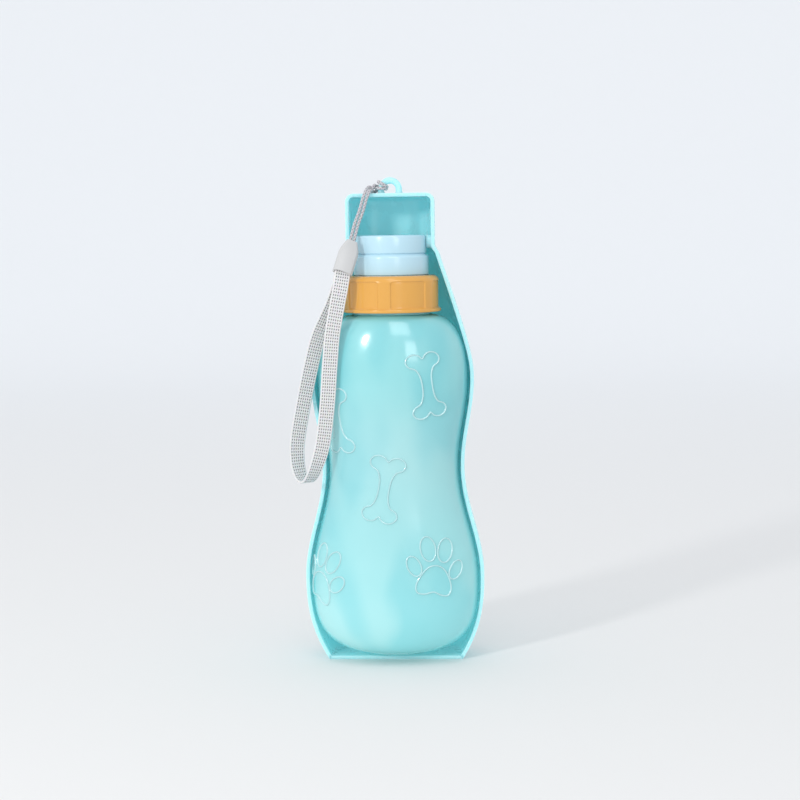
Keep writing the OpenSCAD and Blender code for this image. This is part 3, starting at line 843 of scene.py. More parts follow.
def floor_material(name, near, far):
    """Studio paper with painted shading: darker at the front and lighter behind, standing in for how
    the studio light falls on it, with a faint cloud.
    """
    _, tree, shader = new_material(name)
    place = add_place(tree)
    cloud = add_noise(tree, place, 1.5).outputs["Fac"]
    # Painted shading: the paper runs from the darker floor colour at the front to the lighter backdrop
    # colour behind
    depth = add_range(tree, add_axis(tree, place, "Y"), -0.2, 2.4, soft=True)
    drift = add_node(tree, "Math", {0: cloud, 1: 0.08, 2: depth}, operation="MULTIPLY_ADD")
    paper = add_mix(tree, drift.outputs["Value"], near[:] + (1.0,), far[:] + (1.0,))
    set_inputs(shader, {"Base Color": paper, "Roughness": 0.85, "Specular IOR Level": 0.2})


def make_materials():
    tint = colours()
    make_skin_group()
    bottle_material("bottle_blown", tint.bottle)
    motif_material("motif_ridge", tint.bottle)
    tray_material("tray_moulded", tint.tray)
    moulded_material("head_moulded", tint.head, (0.16, 0.26), 0.06, 40.0, 0.04)
    moulded_material("collar_moulded", tint.collar, (0.12, 0.22), 0.06, 60.0, 0.05)
    moulded_material("ferrule_moulded", tint.ferrule, (0.34, 0.48), 0.15, 60.0, 0.03)
    moulded_material("slip_washer", (0.80, 0.80, 0.78), (0.30, 0.45), 0.05)
    moulded_material("silicone_white", (0.82, 0.84, 0.84), (0.45, 0.60), 0.10)
    moulded_material("seal_rubber", (0.06, 0.06, 0.065), (0.45, 0.60), 0.20)
    # Painted shade in the hollows of the cord and the loop
    woven_material("cord_braid", tint.cord, 0.35)
    woven_material("webbing_weave", tint.webbing, 0.10)
    metal_material("crimp_metal")
    floor_material("studio_floor", tint.floor, tint.backdrop)


def dress_node(node, finish):
    """Gives a solid that stays as it is its detailed material."""
    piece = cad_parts[node]
    for place in piece.material_slots:
        place.material = bpy.data.materials[finish]
    if not piece.material_slots:
        piece.data.materials.append(bpy.data.materials[finish])


# ---- operators: one for each piece or group of like pieces ----
class PieceOperator:
    bl_options = {"REGISTER", "UNDO"}


def aim_at(thing, location, target, roll=0.0):
    """Links a camera or a light to the scene and turns it to a target."""
    bpy.context.scene.collection.objects.link(thing)
    thing.location = location
    ahead = Vector(target) - thing.location
    leaning = Quaternion((0, 0, 1), math.radians(roll))
    thing.rotation_mode = "QUATERNION"
    thing.rotation_quaternion = ahead.to_track_quat("-Z", "Y") @ leaning


class TRAVELBOTTLE_OT_camera(PieceOperator, bpy.types.Operator):
    """Puts the camera before the bottle, a little to its right"""

    bl_idname = "travel_bottle.camera"
    bl_label = "Camera"

    def execute(self, context):
        lens = bpy.data.cameras.new("studio_camera")
        lens.lens = CAMERA_LENS
        lens.sensor_width = 36.0
        lens.clip_start = 0.05
        lens.clip_end = 30.0
        camera = bpy.data.objects.new("studio_camera", lens)
        aim_at(camera, CAMERA_PLACE, CAMERA_AIM, CAMERA_ROLL)
        context.scene.camera = camera
        context.scene.view_settings.view_transform = "Standard"
        return {"FINISHED"}


def add_area(name, location, size, power, colour=(1.0, 1.0, 1.0), gloss_only=False):
    """An area light aimed at the bottle's middle: a disc of one size or a rectangle of two."""
    lamp = bpy.data.lights.new(name, "AREA")
    lamp.shape = "RECTANGLE" if len(size) == 2 else "DISK"
    lamp.size = size[0]
    lamp.size_y = size[-1]
    lamp.energy = power
    lamp.color = colour
    holder = bpy.data.objects.new(name, lamp)
    aim_at(holder, location, LIGHT_AIM)
    holder.visible_diffuse = not gloss_only


class TRAVELBOTTLE_OT_stage(PieceOperator, bpy.types.Operator):
    """Makes the pale floor that sweeps up behind, and the soft studio light"""

    bl_idname = "travel_bottle.stage"
    bl_label = "Stage"

    def execute(self, context):
        def place(i, j):
            x = mix(-FLOOR_HALF_W, FLOOR_HALF_W, i / FLOOR_COLUMNS)
            along = FLOOR_FRONT + FLOOR_LENGTH * j / FLOOR_ROWS
            past = along - SWEEP_FROM
            turn = clamp01(past / SWEEP_R / (math.pi / 2)) * math.pi / 2
            y = min(along, SWEEP_FROM) + SWEEP_R * math.sin(turn)
            over = max(0.0, past - SWEEP_R * math.pi / 2)
            return Vector((x, y, SWEEP_R * (1 - math.cos(turn)) + over))

        bm = bmesh.new()
        grid_sheet(bm, FLOOR_COLUMNS, FLOOR_ROWS, place)
        add_object("studio_floor", bm, "studio_floor")
        world = context.scene.world or bpy.data.worlds.new("studio")
        context.scene.world = world
        world.use_nodes = True
        sky = world.node_tree.nodes["Background"]
        set_inputs(sky, {"Color": (0.935, 0.965, 1.0, 1.0), "Strength": 0.95})
        add_area("key_light", (-0.88, -1.28, 0.60), (0.20,), 8.5, (1.0, 0.99, 0.97))
        add_area("top_light", (0.0, -0.5, 1.5), (0.50,), 1.6)
        add_area("gloss_softbox", (0.27, -1.25, 1.0), (0.68, 0.80), 5.5, gloss_only=True)
        add_area("low_softbox", (0.55, -1.37, 0.36), (0.34, 0.30), 1.5, gloss_only=True)
        return {"FINISHED"}


# ---- wrist strap ----
def at_ferrule(x, y, z):
    """A point of the ferrule's own frame in the frame of the whole object."""
    return FERRULE_MOUTH + FERRULE_TILT @ Vector((x, y, z))


def strand_path(side):
    """Centreline of one strand: side -1 is the front one, 1 the back one."""
    reach = EYE_R + EYE_BAR_R + KNOT_GAP + STRAND_D + STRAND_GAP
    middle = [(Vector((-reach, EYE_BACK, EYE_Z)), 0.0)]
    middle += [(Vector((x, y, z)) * MM, share) for x, y, z, share in CORD_ROUTE]
    mouth = at_ferrule(0, 0, FERRULE_LEN)
    across = FERRULE_TILT @ Vector((1, 0, 0))
    last = len(middle) - 1
    points = []
    for k, (here, share) in enumerate(middle):
        ahead = middle[k + 1][0] if k < last else mouth
        along = (ahead - middle[max(k - 1, 0)][0]).normalized()
        line = Vector((0, 0, -1)).lerp(across, share)
        line = (line - along * line.dot(along)).normalized()
        points.append(here + side * STRAND_APART * line)
    for z in (FERRULE_LEN, (FERRULE_LEN + CRIMP_TOP) / 2, CRIMP_TOP):
        points.append(at_ferrule(side * STRAND_APART, 0, z))
    points.insert(0, points[0] + Vector((0.7, 0.25, 0)) * MM)
    return spline([tuple(p) for p in points], 4)


class TRAVELBOTTLE_OT_cord(PieceOperator, bpy.types.Operator):
    """Makes the two braided strands between the knot and the ferrule"""

    bl_idname = "travel_bottle.cord"
    bl_label = "Cord Strands"

    def execute(self, context):
        for name, side in (("cord_front", -1), ("cord_back", 1)):
            path = strand_path(side)
            bm = bmesh.new()
            braided_tube(bm, resample(path, BRAID_ROW), STRAND_D / 2)
            node = "cord_strand_" + name.split("_")[1]
            piece = place_piece(name + "_strand", bm, "cord_braid", "strap", [node], 60)
            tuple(path[0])
            chain_length(path)
        return {"FINISHED"}


def knot_path():
    """A cord turned round the eye's bar, with its bight round the root of both strands."""
    centre = Vector((0, EYE_BACK, EYE_Z))
    lay = EYE_BAR_R + KNOT_GAP + STRAND_D / 2

    def round_bar(angle, drift, wrap, count):
        for i in range(count):
            a = math.radians(angle + drift * i / 12)
            w = math.radians(wrap - 30 * i)
            out = Vector((math.cos(a), 0, math.sin(a)))
            side = Vector((0, 1, 0))
            yield centre + out * (EYE_R + lay * math.cos(w)) + side * lay * math.sin(w)

    points = list(round_bar(*KNOT_TURNS[0]))
    for k, x in enumerate(BIGHT_X):
        a = math.radians(60 + 45 * k)
        out = Vector((0, math.cos(a), math.sin(a)))
        points.append(Vector((x * MM, EYE_BACK, EYE_Z)) + out * BIGHT_R)
    points += round_bar(*KNOT_TURNS[1])
    return spline([tuple(p) for p in points], 6)


class TRAVELBOTTLE_OT_knot(PieceOperator, bpy.types.Operator):
    """Makes the knot of the cord round the tray's hanging eye"""

    bl_idname = "travel_bottle.knot"
    bl_label = "Cord Knot"

    def execute(self, context):
        bm = bmesh.new()
        braided_tube(bm, resample(knot_path(), KNOT_ROW), STRAND_D / 2 + KNOT_SWELL)
        place_piece("cord_knot", bm, "cord_braid", "tray", ["lanyard_knot"], 60)
        return {"FINISHED"}


def webbing_centreline():
    """Places and turns along the loop, from the ferrule's front side round to its back side."""
    lay = WEBBING_T / 2 + SEAL_GAP / 2

    def held(y, z):
        p = at_ferrule(0, y, z)
        return (p.x, p.y, p.z, FERRULE_TURN)

    route = [held(-lay, CRIMP_Z), held(-lay, CRIMP_Z / 2), held(-lay, 0.5 * MM)]
    route += [(x * MM, y * MM, z * MM, turn) for x, y, z, turn in WEBBING_ROUTE]
    route += [held(lay, 0.5 * MM), held(lay, CRIMP_Z / 2), held(lay, CRIMP_Z)]
    return spline(route, 8)


class TRAVELBOTTLE_OT_webbing(PieceOperator, bpy.types.Operator):
    """Makes the flat woven wrist loop with its rows of holes: thinner spots with painted shade"""

    bl_idname = "travel_bottle.webbing"
    bl_label = "Woven Loop"

    def execute(self, context):
        route = webbing_centreline()
        total = chain_length(route)
        row_pitch = sizes().weave_pitch
        rows = round(total / row_pitch) * ROWS_PER_WEAVE
        frames = []
        for k, t in equal_steps(route, rows):
            point = Vector(route[k][:3]).lerp(Vector(route[k + 1][:3]), t)
            frames.append((point, math.radians(mix(route[k][3], route[k + 1][3], t))))
        crowns = {}

        def place(i, j):
            point, turn = frames[j]
            ahead = frames[min(j + 1, rows)][0] - frames[max(j - 1, 0)][0]
            along = ahead.normalized()
            flat = Vector((math.cos(turn), math.sin(turn), 0))
            face = along.cross(flat).normalized()
            side = face.cross(along)
            share = 4 * (i % WEBBING_SIDES) / WEBBING_SIDES
            across = 1 - share if share < 2 else share - 3
            front = 1 if share < 2 else -1
            depth = front * power(1 - abs(across) ** WEBBING_POWER, 0.5)
            crown, thickness = weave_at((across + 1) / 2 * WEAVE_COLUMNS, total * j / rows / row_pitch)
            crowns[(i, j)] = crown
            lift = depth * (WEBBING_T / 2) * thickness
            return point + side * across * WEBBING_W / 2 + face * lift

        bm = bmesh.new()
        # The crowns feed the relief layer, which paints shade into the holes
        relief = bm.verts.layers.float.new("relief")
        for v, i, j in grid_sheet(bm, WEBBING_SIDES, rows, place):
            v[relief] = crowns[(i, j)]
        bmesh.ops.remove_doubles(bm, verts=bm.verts, dist=0.01 * MM)
        rims = [e for e in bm.edges if e.is_boundary]
        bmesh.ops.holes_fill(bm, edges=rims, sides=0)
        piece = place_piece(
            "woven_loop", bm, "webbing_weave", "strap", ["strap_webbing"], 60
        )
        path = [p[:3] for p in route[::5]] + [route[-1][:3]]
        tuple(path[0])
        chain_length(path)
        return {"FINISHED"}


def weave_at(column, row):
    """How far a place of the weave is from a hole, and its share of the band's thickness."""
    hole_x = 0.0
    if WEAVE_MARGIN < column < WEAVE_COLUMNS - WEAVE_MARGIN:
        hole_x = math.exp(-(((column - round(column)) / HOLE_HALF_W) ** 2))
    hole_z = math.exp(-(((row - round(row)) / HOLE_HALF_H) ** 2))
    crown = 1 - hole_x * hole_z
    rib = RIB_RELIEF * abs(math.sin(math.pi * column))
    ply = PLY_RELIEF * math.sin(2 * math.pi * (row + 0.5 * round(column)))
    return crown, WEAVE_BODY + rib + ply - HOLE_RELIEF * (1 - crown)


def ferrule_outline(side, w, t, crest, squareness):
    """Half of the ferrule's outline at one height: front for side -1, back for 1."""
    chamfer = mix(0.0, 0.22, squareness)
    lap = (0.0 if side < 0 else SEAL_GAP) * side
    hip = side * t * mix(0.5, 0.28, squareness)
    return [
        (-w / 2, lap),
        (-w / 2, hip),
        (-w / 2 + t * chamfer, side * t / 2),
        (-w * 0.08, side * (t / 2 + crest)),
        (w / 2 - t * chamfer, side * t / 2),
        (w / 2, hip),
        (w / 2, lap),
    ]


class TRAVELBOTTLE_OT_ferrule(PieceOperator, bpy.types.Operator):
    """Makes the two halves of the tapered clip that joins cord and loop"""

    bl_idname = "travel_bottle.ferrule"
    bl_label = "Ferrule"

    def execute(self, context):
        bore_w = 2 * STRAND_APART + STRAND_D + 2 * SEAL_GAP
        bore_t = STRAND_D + 2 * SEAL_GAP
        for name, side in (("front", -1), ("back", 1)):
            ridge = FERRULE_RIDGE if side < 0 else 0.0
            stations = [
                (FERRULE_LEN * z, mix(FERRULE_W, FERRULE_TOP_W, narrow), t, ridge * crest, 1.0)
                for z, narrow, t, crest in FERRULE_TAPER
            ]
            stations.append((FERRULE_LEN, bore_w, bore_t, 0.0, 0.0))

            def place(i, j):
                z, *section = stations[j]
                x, y = ferrule_outline(side, *section)[i]
                return at_ferrule(x, y, z)

            bm = bmesh.new()
            grid_sheet(bm, 6, len(stations) - 1, place)
            node = f"strap_ferrule_{name}"
            piece = place_piece(
                f"ferrule_{name}", bm, "ferrule_moulded", "strap", [node], 50
            )
            outward = FERRULE_TILT @ Vector((0, side, 0))
            widest = max(piece.data.polygons, key=lambda f: f.area)
            add_wall(piece, FERRULE_WALL, widest.normal.dot(outward) > 0)
            add_bevel(piece, FERRULE_BEVEL, 20)
        return {"FINISHED"}


# ---- bottle ----
def bottle_size(z):
    """Half width and half depth of the bottle's skin at a height over its lower belly."""
    if z < LOWER_BELLY_Z:
        down = clamp01((LOWER_BELLY_Z - z) / (LOWER_BELLY_Z - BOTTLE_FLOOR))
        across = power(1 - down**BOTTOM_POWER, 1 / BOTTOM_POWER)
        return BELLY_HALF[0] * across, BELLY_DEEP[0] * across
    if z <= UPPER_BELLY_Z:
        return wave(z, *BELLY_HALF), wave(z, *BELLY_DEEP)
    up = clamp01((z - UPPER_BELLY_Z) / (SHOULDER_Z - UPPER_BELLY_Z))
    across = power(1 - up**SHOULDER_POWER, 1 / SHOULDER_POWER)
    return mix(NECK_R, BELLY_HALF[2], across), mix(NECK_R, BELLY_DEEP[2], across)


def quarter_oval(angle, exponent):
    """Across and along shares of a squared-off quarter circle at an angle in degrees."""
    a = math.radians(angle)
    return power(math.cos(a), 2 / exponent), power(math.sin(a), 2 / exponent)


def bottle_rings(inset, neck):
    """Height, half width and half depth of the skin's rings, from the underside to the neck."""
    floor_z = BOTTLE_FLOOR + inset
    drop = LOWER_BELLY_Z - floor_z
    half = [h - inset for h in BELLY_HALF]
    deep = [d - inset for d in BELLY_DEEP]
    rise = SHOULDER_Z - inset - UPPER_BELLY_Z
    rows = []
    for share, lift in FOOT_ROWS:
        rows.append((floor_z + FOOT_PUSH * lift, half[0] * share, deep[0] * share))
    for a in range(74, 1, -4):
        across, down = quarter_oval(a, BOTTOM_POWER)
        rows.append((LOWER_BELLY_Z - drop * down, half[0] * across, deep[0] * across))
    for k in range(BELLY_ROWS + 1):
        z = mix(LOWER_BELLY_Z, UPPER_BELLY_Z, k / BELLY_ROWS)
        rows.append((z, wave(z, *half), wave(z, *deep)))
    for a in range(4, 89, 4):
        across, up = quarter_oval(a, SHOULDER_POWER)
        rows.append((UPPER_BELLY_Z + rise * up, mix(neck, half[2], across), mix(neck, deep[2], across)))
    return rows


def bottle_skin(inset, neck, root_z, edge):
    """Rings of one face of the wall up to the mouth; edge is how far the mouth's rim leans in."""
    rows = ((root_z, neck), (NECK_TOP - abs(edge), neck), (NECK_TOP, neck - edge))
    rings = bottle_rings(inset, neck) + [(z, r, r) for z, r in rows]
    return [oval_ring(half, deep, z) for z, half, deep in rings]


def add_thread(bm, root_r, crest_r, start_z, outward):
    """A helical ridge spun from a small section and rooted in the wall it stands on."""
    root = root_r + (-RIDGE_SINK if outward else RIDGE_SINK)
    section = [
        (root, -RIDGE_ROOT_HALF),
        (crest_r, -RIDGE_CREST_HALF),
        (crest_r, RIDGE_CREST_HALF),
        (root, RIDGE_ROOT_HALF),
    ]
    geom = chain(bm, [(r, 0.0, start_z + z) for r, z in section], True)
    face = bm.faces.new([g for g in geom if isinstance(g, bmesh.types.BMVert)])
    bmesh.ops.spin(
        bm,
        geom=geom + [face],
        cent=(0, 0, 0),
        axis=(0, 0, 1),
        dvec=(0, 0, THREAD_PITCH / THREAD_SIDES),
        angle=2 * math.pi * THREAD_TURNS,
        steps=round(THREAD_TURNS * THREAD_SIDES),
        use_merge=False,
        use_duplicate=False,
    )


class TRAVELBOTTLE_OT_bottle(PieceOperator, bpy.types.Operator):
    """Makes the blown bottle with its wall, neck and thread"""

    bl_idname = "travel_bottle.bottle"
    bl_label = "Bottle"

    def execute(self, context):
        outer = bottle_skin(0.0, NECK_R, SHOULDER_Z + 0.2 * MM, 0.4 * MM)
        inner = bottle_skin(BOTTLE_WALL, NECK_BORE, SHOULDER_Z - BOTTLE_WALL, -0.3 * MM)
        bm = bmesh.new()
        tower(bm, outer + inner[::-1], BOTTLE_SIDES)
        add_thread(bm, NECK_R, THREAD_CREST_R, THREAD_Z, True)
        place_piece("blown_bottle", bm, "bottle_blown", "bottle", ["bottle_body"], 50)
        return {"FINISHED"}


SLOPE_PROBE = 0.5 * MM
LEAN_SHARE = 0.9
WALK_STEPS = 6
LINE_HALF = [(-0.5, -0.35), (-0.42, 0.30), (-0.22, 0.85)]  # shares of a raised line's width and height

# Half outlines of the motifs, in millimetres, and the toes' places, half sizes and lean
BONE_HALF = [
    (0.0, 12.3),
    (1.7, 13.9),
    (4.3, 14.6),
    (6.9, 13.6),
    (8.0, 11.4),
    (6.9, 9.3),
    (4.4, 8.0),
    (3.0, 5.6),
    (2.4, 2.4),
]
PAD_HALF = [(0.0, 0.6), (3.6, -0.7), (6.3, -4.2), (8.0, -8.6), (7.0, -11.8), (3.6, -12.0)]
TOES = [
    (-9.6, -0.6, 2.9, 4.5, 30),
    (-3.9, 7.4, 3.4, 5.3, 11),
    (3.9, 7.4, 3.4, 5.3, -11),
    (9.6, -0.6, 2.9, 4.5, -30),
]


def bone_loops():
    right = BONE_HALF + [(x, -y) for x, y in BONE_HALF[:0:-1]]
    left = [(-x, y) for x, y in right[:0:-1]]
    return [right + [(0.0, -BONE_HALF[0][1])] + left]


def paw_loops():
    pad = PAD_HALF + [(0.0, -10.9)] + [(-x, y) for x, y in PAD_HALF[:0:-1]]
    loops = [pad]
    for cx, cy, half_w, half_h, lean in TOES:
        c, s = math.cos(math.radians(lean)), math.sin(math.radians(lean))
        toe = []
        for k in range(TOE_SIDES):
            t = 2 * math.pi * k / TOE_SIDES
            x, y = half_w * math.cos(t), half_h * math.sin(t)
            toe.append((cx + x * c - y * s, cy + x * s + y * c))
        loops.append(toe)
    return loops


def on_bottle(turn, z, lift):
    """Point over the bottle's skin; turn is the angle from its front towards +X, in radians."""
    half, deep = bottle_size(z)
    slope = (bottle_size(z + SLOPE_PROBE)[0] - bottle_size(z - SLOPE_PROBE)[0]) / (2 * SLOPE_PROBE)
    point = Vector((half * math.sin(turn), -deep * math.cos(turn), z))
    normal = Vector((math.sin(turn) / half, -math.cos(turn) / deep, 0)).normalized()
    normal = (normal - Vector((0, 0, slope * LEAN_SHARE))).normalized()
    return point + normal * lift


def walk_round(turn, z, distance):
    """The turn reached after that distance along the skin at one height."""
    half, deep = bottle_size(z)
    for _ in range(WALK_STEPS):
        metric = math.hypot(half * math.cos(turn), deep * math.sin(turn))
        turn += distance / WALK_STEPS / metric
    return turn


def add_raised_loop(bm, loop, centre, scale, width, height):
    """A raised line on the bottle's skin along a closed outline."""
    turn0, z0, tilt = centre
    c, s = math.cos(tilt), math.sin(tilt)
    outline = [Vector((x * c - y * s, x * s + y * c)) * scale * MM for x, y in spline(loop, 6, True)]
    n = len(outline)
    section = LINE_HALF + [(0.0, 1.0)] + [(-across, lift) for across, lift in LINE_HALF[::-1]]

    def place(i, j):
        k = j % n
        ahead = outline[(k + 1) % n] - outline[k - 1]
        out = Vector((ahead.y, -ahead.x)).normalized()
        across, lift = section[i]
        here = outline[k] + out * across * width
        z = z0 + here.y
        return on_bottle(walk_round(math.radians(turn0), z, here.x), z, lift * height)

    made = grid_sheet(bm, len(section) - 1, n, place)
    bmesh.ops.remove_doubles(bm, verts=[v for v, _, _ in made], dist=0.005 * MM)


class TRAVELBOTTLE_OT_motifs(PieceOperator, bpy.types.Operator):
    """Makes the bones and paw prints embossed on the bottle"""

    bl_idname = "travel_bottle.motifs"
    bl_label = "Embossed Motifs"

    def execute(self, context):
        width = sizes().emboss_width
        height = sizes().emboss_height
        for kind, spots, loops in (("bone", BONES, bone_loops()), ("paw", PAWS, paw_loops())):
            for number, (turn, z, tilt, scale) in enumerate(spots, 1):
                bm = bmesh.new()
                centre = (turn, z * MM, math.radians(tilt))
                for loop in loops:
                    add_raised_loop(bm, loop, centre, scale, width, height)
                place_piece(f"embossed_{kind}_{number}", bm, "motif_ridge", "bottle")
        return {"FINISHED"}


# ---- drinking head ----
def place_tier(name, profile, node):
    """Spins a profile of r, z and corner radius into one tier of the head."""
    bm = bmesh.new()
    spin_round(bm, chain(bm, [(r, 0.0, z) for r, z in rounded(profile)], True), HEAD_SIDES)
    return place_piece(name, bm, "head_moulded", "bottle", [node])


def cut_round_hole(piece, x1, x2, radius):
    """Cuts a round socket along X at the pivot's height, from both sides."""
    for side in (-1, 1):
        bm = bmesh.new()
        middle = side * (x1 + x2) / 2
        where = Matrix.Translation((middle, 0, PIVOT_Z)) @ Matrix.Rotation(math.pi / 2, 4, "Y")
        bmesh.ops.create_cone(
            bm,
            cap_ends=True,
            segments=SOCKET_SIDES,
            radius1=radius,
            radius2=radius,
            depth=abs(x2 - x1),
            matrix=where,
        )
        mesh = bpy.data.meshes.new("socket_cutter")
        bm.to_mesh(mesh)
        bm.free()
        cutter = bpy.data.objects.new("socket_cutter", mesh)
        bpy.context.scene.collection.objects.link(cutter)
        cut = piece.modifiers.new("socket", "BOOLEAN")
        cut.operation = "DIFFERENCE"
        cut.solver = "EXACT"
        cut.object = cutter
        graph = bpy.context.evaluated_depsgraph_get()
        carved = bpy.data.meshes.new_from_object(piece.evaluated_get(graph))
        piece.modifiers.remove(cut)
        piece.data = carved
        bpy.data.objects.remove(cutter)
        bpy.data.meshes.remove(mesh)
    piece.data.shade_smooth()
    piece.data.set_sharp_from_angle(angle=math.radians(35))


class TRAVELBOTTLE_OT_head(PieceOperator, bpy.types.Operator):
    """Makes the drinking head's lower tier and its snapped-on upper tier"""

    bl_idname = "travel_bottle.head"
    bl_label = "Drinking Head"

    def execute(self, context):
        groove_r = SPIGOT_R - 2 * RING_R
        groove_low = RING_GROOVE_Z - RING_R - SEAL_GAP
        groove_high = RING_GROOVE_Z + RING_R + SEAL_GAP
        base = [
            (HEAD_BORE, NECK_TOP - SKIRT_DEPTH, 0),
            (SKIRT_R, NECK_TOP - SKIRT_DEPTH, 0.35 * MM),
            (SKIRT_R, FLANGE_Z, 0),
            (FLANGE_R, FLANGE_Z, 0),
            (FLANGE_R, SLIP_Z, 0.2 * MM),
            (LOWER_TIER_R - LIP_GROOVE, SLIP_Z, 0),
            (LOWER_TIER_R - LIP_GROOVE, COLLAR_TOP + 0.1 * MM, 0),
            (LOWER_TIER_R, COLLAR_TOP + 0.5 * MM, 0.2 * MM),
            (LOWER_TIER_R, LOWER_TIER_TOP - 0.4 * MM, 1.3 * MM),
            (UPPER_TIER_R - 0.55 * MM, UPPER_TIER_Z - 0.25 * MM, 0.25 * MM),
            (UPPER_TIER_R - 0.6 * MM, UPPER_TIER_Z, 0),
            (SPIGOT_R, UPPER_TIER_Z, 0),
            (SPIGOT_R, groove_low, 0),
            (groove_r, groove_low, 0),
            (groove_r, groove_high, 0),
            (SPIGOT_R, groove_high, 0),
            (SPIGOT_R, SPIGOT_TOP, 0.2 * MM),
            (SEAT_R, SPIGOT_TOP, 0.2 * MM),
            (SEAT_R, UPPER_TIER_Z - HEAD_WALL, 0.4 * MM),
            (HEAD_BORE, UPPER_TIER_Z - 2 * HEAD_WALL, 0.4 * MM),
        ]
        place_tier("head_lower_tier", base, "head_base")
        cap = [
            (SPIGOT_R + SEAL_GAP, UPPER_TIER_Z, 0),
            (UPPER_TIER_R, UPPER_TIER_Z, 0.45 * MM),
            (UPPER_TIER_R, HEAD_TOP, 0.9 * MM),
            (OUTLET_R + HEAD_WALL, HEAD_TOP, 0.5 * MM),
            (OUTLET_R + HEAD_WALL - 0.5 * MM, HEAD_TOP - 0.6 * MM, 0.3 * MM),
            (OUTLET_R, HEAD_TOP - 0.6 * MM, 0.4 * MM),
            (OUTLET_R, LEDGE_Z, 0),
            (SPIGOT_R + SEAL_GAP, LEDGE_Z, 0),
        ]
        top = place_tier("head_upper_tier", cap, "head_cap")
        cut_round_hole(top, SOCKET_X, UPPER_TIER_R + 1 * MM, PIN_R + PIN_GAP)
        return {"FINISHED"}


class TRAVELBOTTLE_OT_seals(PieceOperator, bpy.types.Operator):
    """Finishes the gasket, sealing ring, valve, slip ring and crimp"""

    bl_idname = "travel_bottle.seals"
    bl_label = "Seals And Small Parts"

    def execute(self, context):
        for node, finish in (
            ("neck_gasket", "silicone_white"),
            ("outlet_valve", "silicone_white"),
            ("head_oring", "seal_rubber"),
            ("collar_slip_ring", "slip_washer"),
            ("strap_crimp", "crimp_metal"),
        ):
            dress_node(node, finish)
        return {"FINISHED"}


# ---- screw collar ----
class TRAVELBOTTLE_OT_collar(PieceOperator, bpy.types.Operator):
    """Makes the screw collar with its grip bars, bead and inner thread"""

    bl_idname = "travel_bottle.collar"
    bl_label = "Screw Collar"

    def execute(self, context):
        band_r = COLLAR_R + BAR_HEIGHT
        profile = [
            (COLLAR_BORE, COLLAR_BOTTOM, 0.2 * MM),
            (COLLAR_R + BEAD_OUT, COLLAR_BOTTOM, 0.5 * MM),
            (COLLAR_R + BEAD_OUT, COLLAR_BOTTOM + BEAD_H, 0.6 * MM),
            (band_r, COLLAR_BOTTOM + BEAD_H, 0.25 * MM),
            (band_r, COLLAR_TOP, COLLAR_ROUND),
            (COLLAR_LIP_R, COLLAR_TOP, 0.4 * MM),
            (COLLAR_LIP_R, LIP_Z, 0.2 * MM),
            (COLLAR_BORE, LIP_Z, 0),
        ]
        bm = bmesh.new()
        outline = split_outside(rounded(profile, 6), COLLAR_R, 0.3 * MM)
        first, last = tower(bm, [oval_ring(r, r, z) for r, z in outline], COLLAR_SIDES, False)
        bmesh.ops.bridge_loops(bm, edges=edges_among(first, bm.edges) + last)
        for v in bm.verts:
            radial = Vector((v.co.x, v.co.y, 0))
            if radial.length > COLLAR_R + 0.1 * MM:
                turn = math.degrees(math.atan2(v.co.y, v.co.x))
                sunk = BAR_HEIGHT * sizes().panel_depth * self.panel_share(turn, v.co.z)
                v.co -= radial.normalized() * sunk
        add_thread(bm, COLLAR_BORE, COLLAR_CREST_R, THREAD_Z + THREAD_PITCH / 2, False)
        place_piece("grip_collar", bm, "collar_moulded", "collar", ["screw_collar"], 40)
        return {"FINISHED"}

    def panel_share(self, turn, z):
        """How fully a place on the wall lies in a sunken panel between two grip bars."""
        band_r = COLLAR_R + BAR_HEIGHT
        half_w = math.radians(180 / BAR_COUNT - BAR_ANGLE / 2) * band_r
        corner = PANEL_CORNER
        edge = sizes().bar_round
        span = 360 / BAR_COUNT
        off = (turn + 90 + BAR_PHASE) % span - span / 2
        over_x = abs(math.radians(off)) * band_r - half_w + corner
        over_z = z - (COLLAR_TOP - BAND_H) + corner
        inside = corner - math.hypot(max(0.0, over_x), max(0.0, over_z)) - min(0.0, max(over_x, over_z))
        low = COLLAR_BOTTOM + BEAD_H
        return ease(clamp01(inside / edge)) * ease(clamp01((z - low) / edge))


# ---- tray ----
def beside_bottle(z, halves, base):
    """Inner size of the tray up to the upper belly: a gap round the bottle, and its own foot."""
    lower, waist, upper = (half + TRAY_GAP for half in halves)
    if z < LOWER_BELLY_Z:
        return mix(lower, base, ((LOWER_BELLY_Z - z) / LOWER_BELLY_Z) ** BASE_POWER)
    return wave(z, lower, waist, upper)


def tray_half(z):
    """Inner half width of the tray at its rim."""
    if z < UPPER_BELLY_Z:
        return beside_bottle(z, BELLY_HALF, TRAY_BASE_HALF)
    over = z - UPPER_BELLY_Z
    slant = BELLY_HALF[2] + TRAY_GAP - TRAY_SLOPE * (math.hypot(over, SLOPE_ROUND) - SLOPE_ROUND)
    share = ease(clamp01((PIVOT_Z - BOSS_R + NECK_STEP / 2 - z) / NECK_STEP))
    return mix(TRAY_NECK_HALF, slant, share)


def tray_deep(z):
    """Inner depth of the tray behind the bottle's axis."""
    if z < UPPER_BELLY_Z:
        return beside_bottle(z, BELLY_DEEP, TRAY_BASE_DEEP)
    share = clamp01((z - UPPER_BELLY_Z) / (PIVOT_Z - BOSS_R - UPPER_BELLY_Z))
    return mix(BELLY_DEEP[2] + TRAY_GAP, TRAY_NECK_DEEP, ease(share))


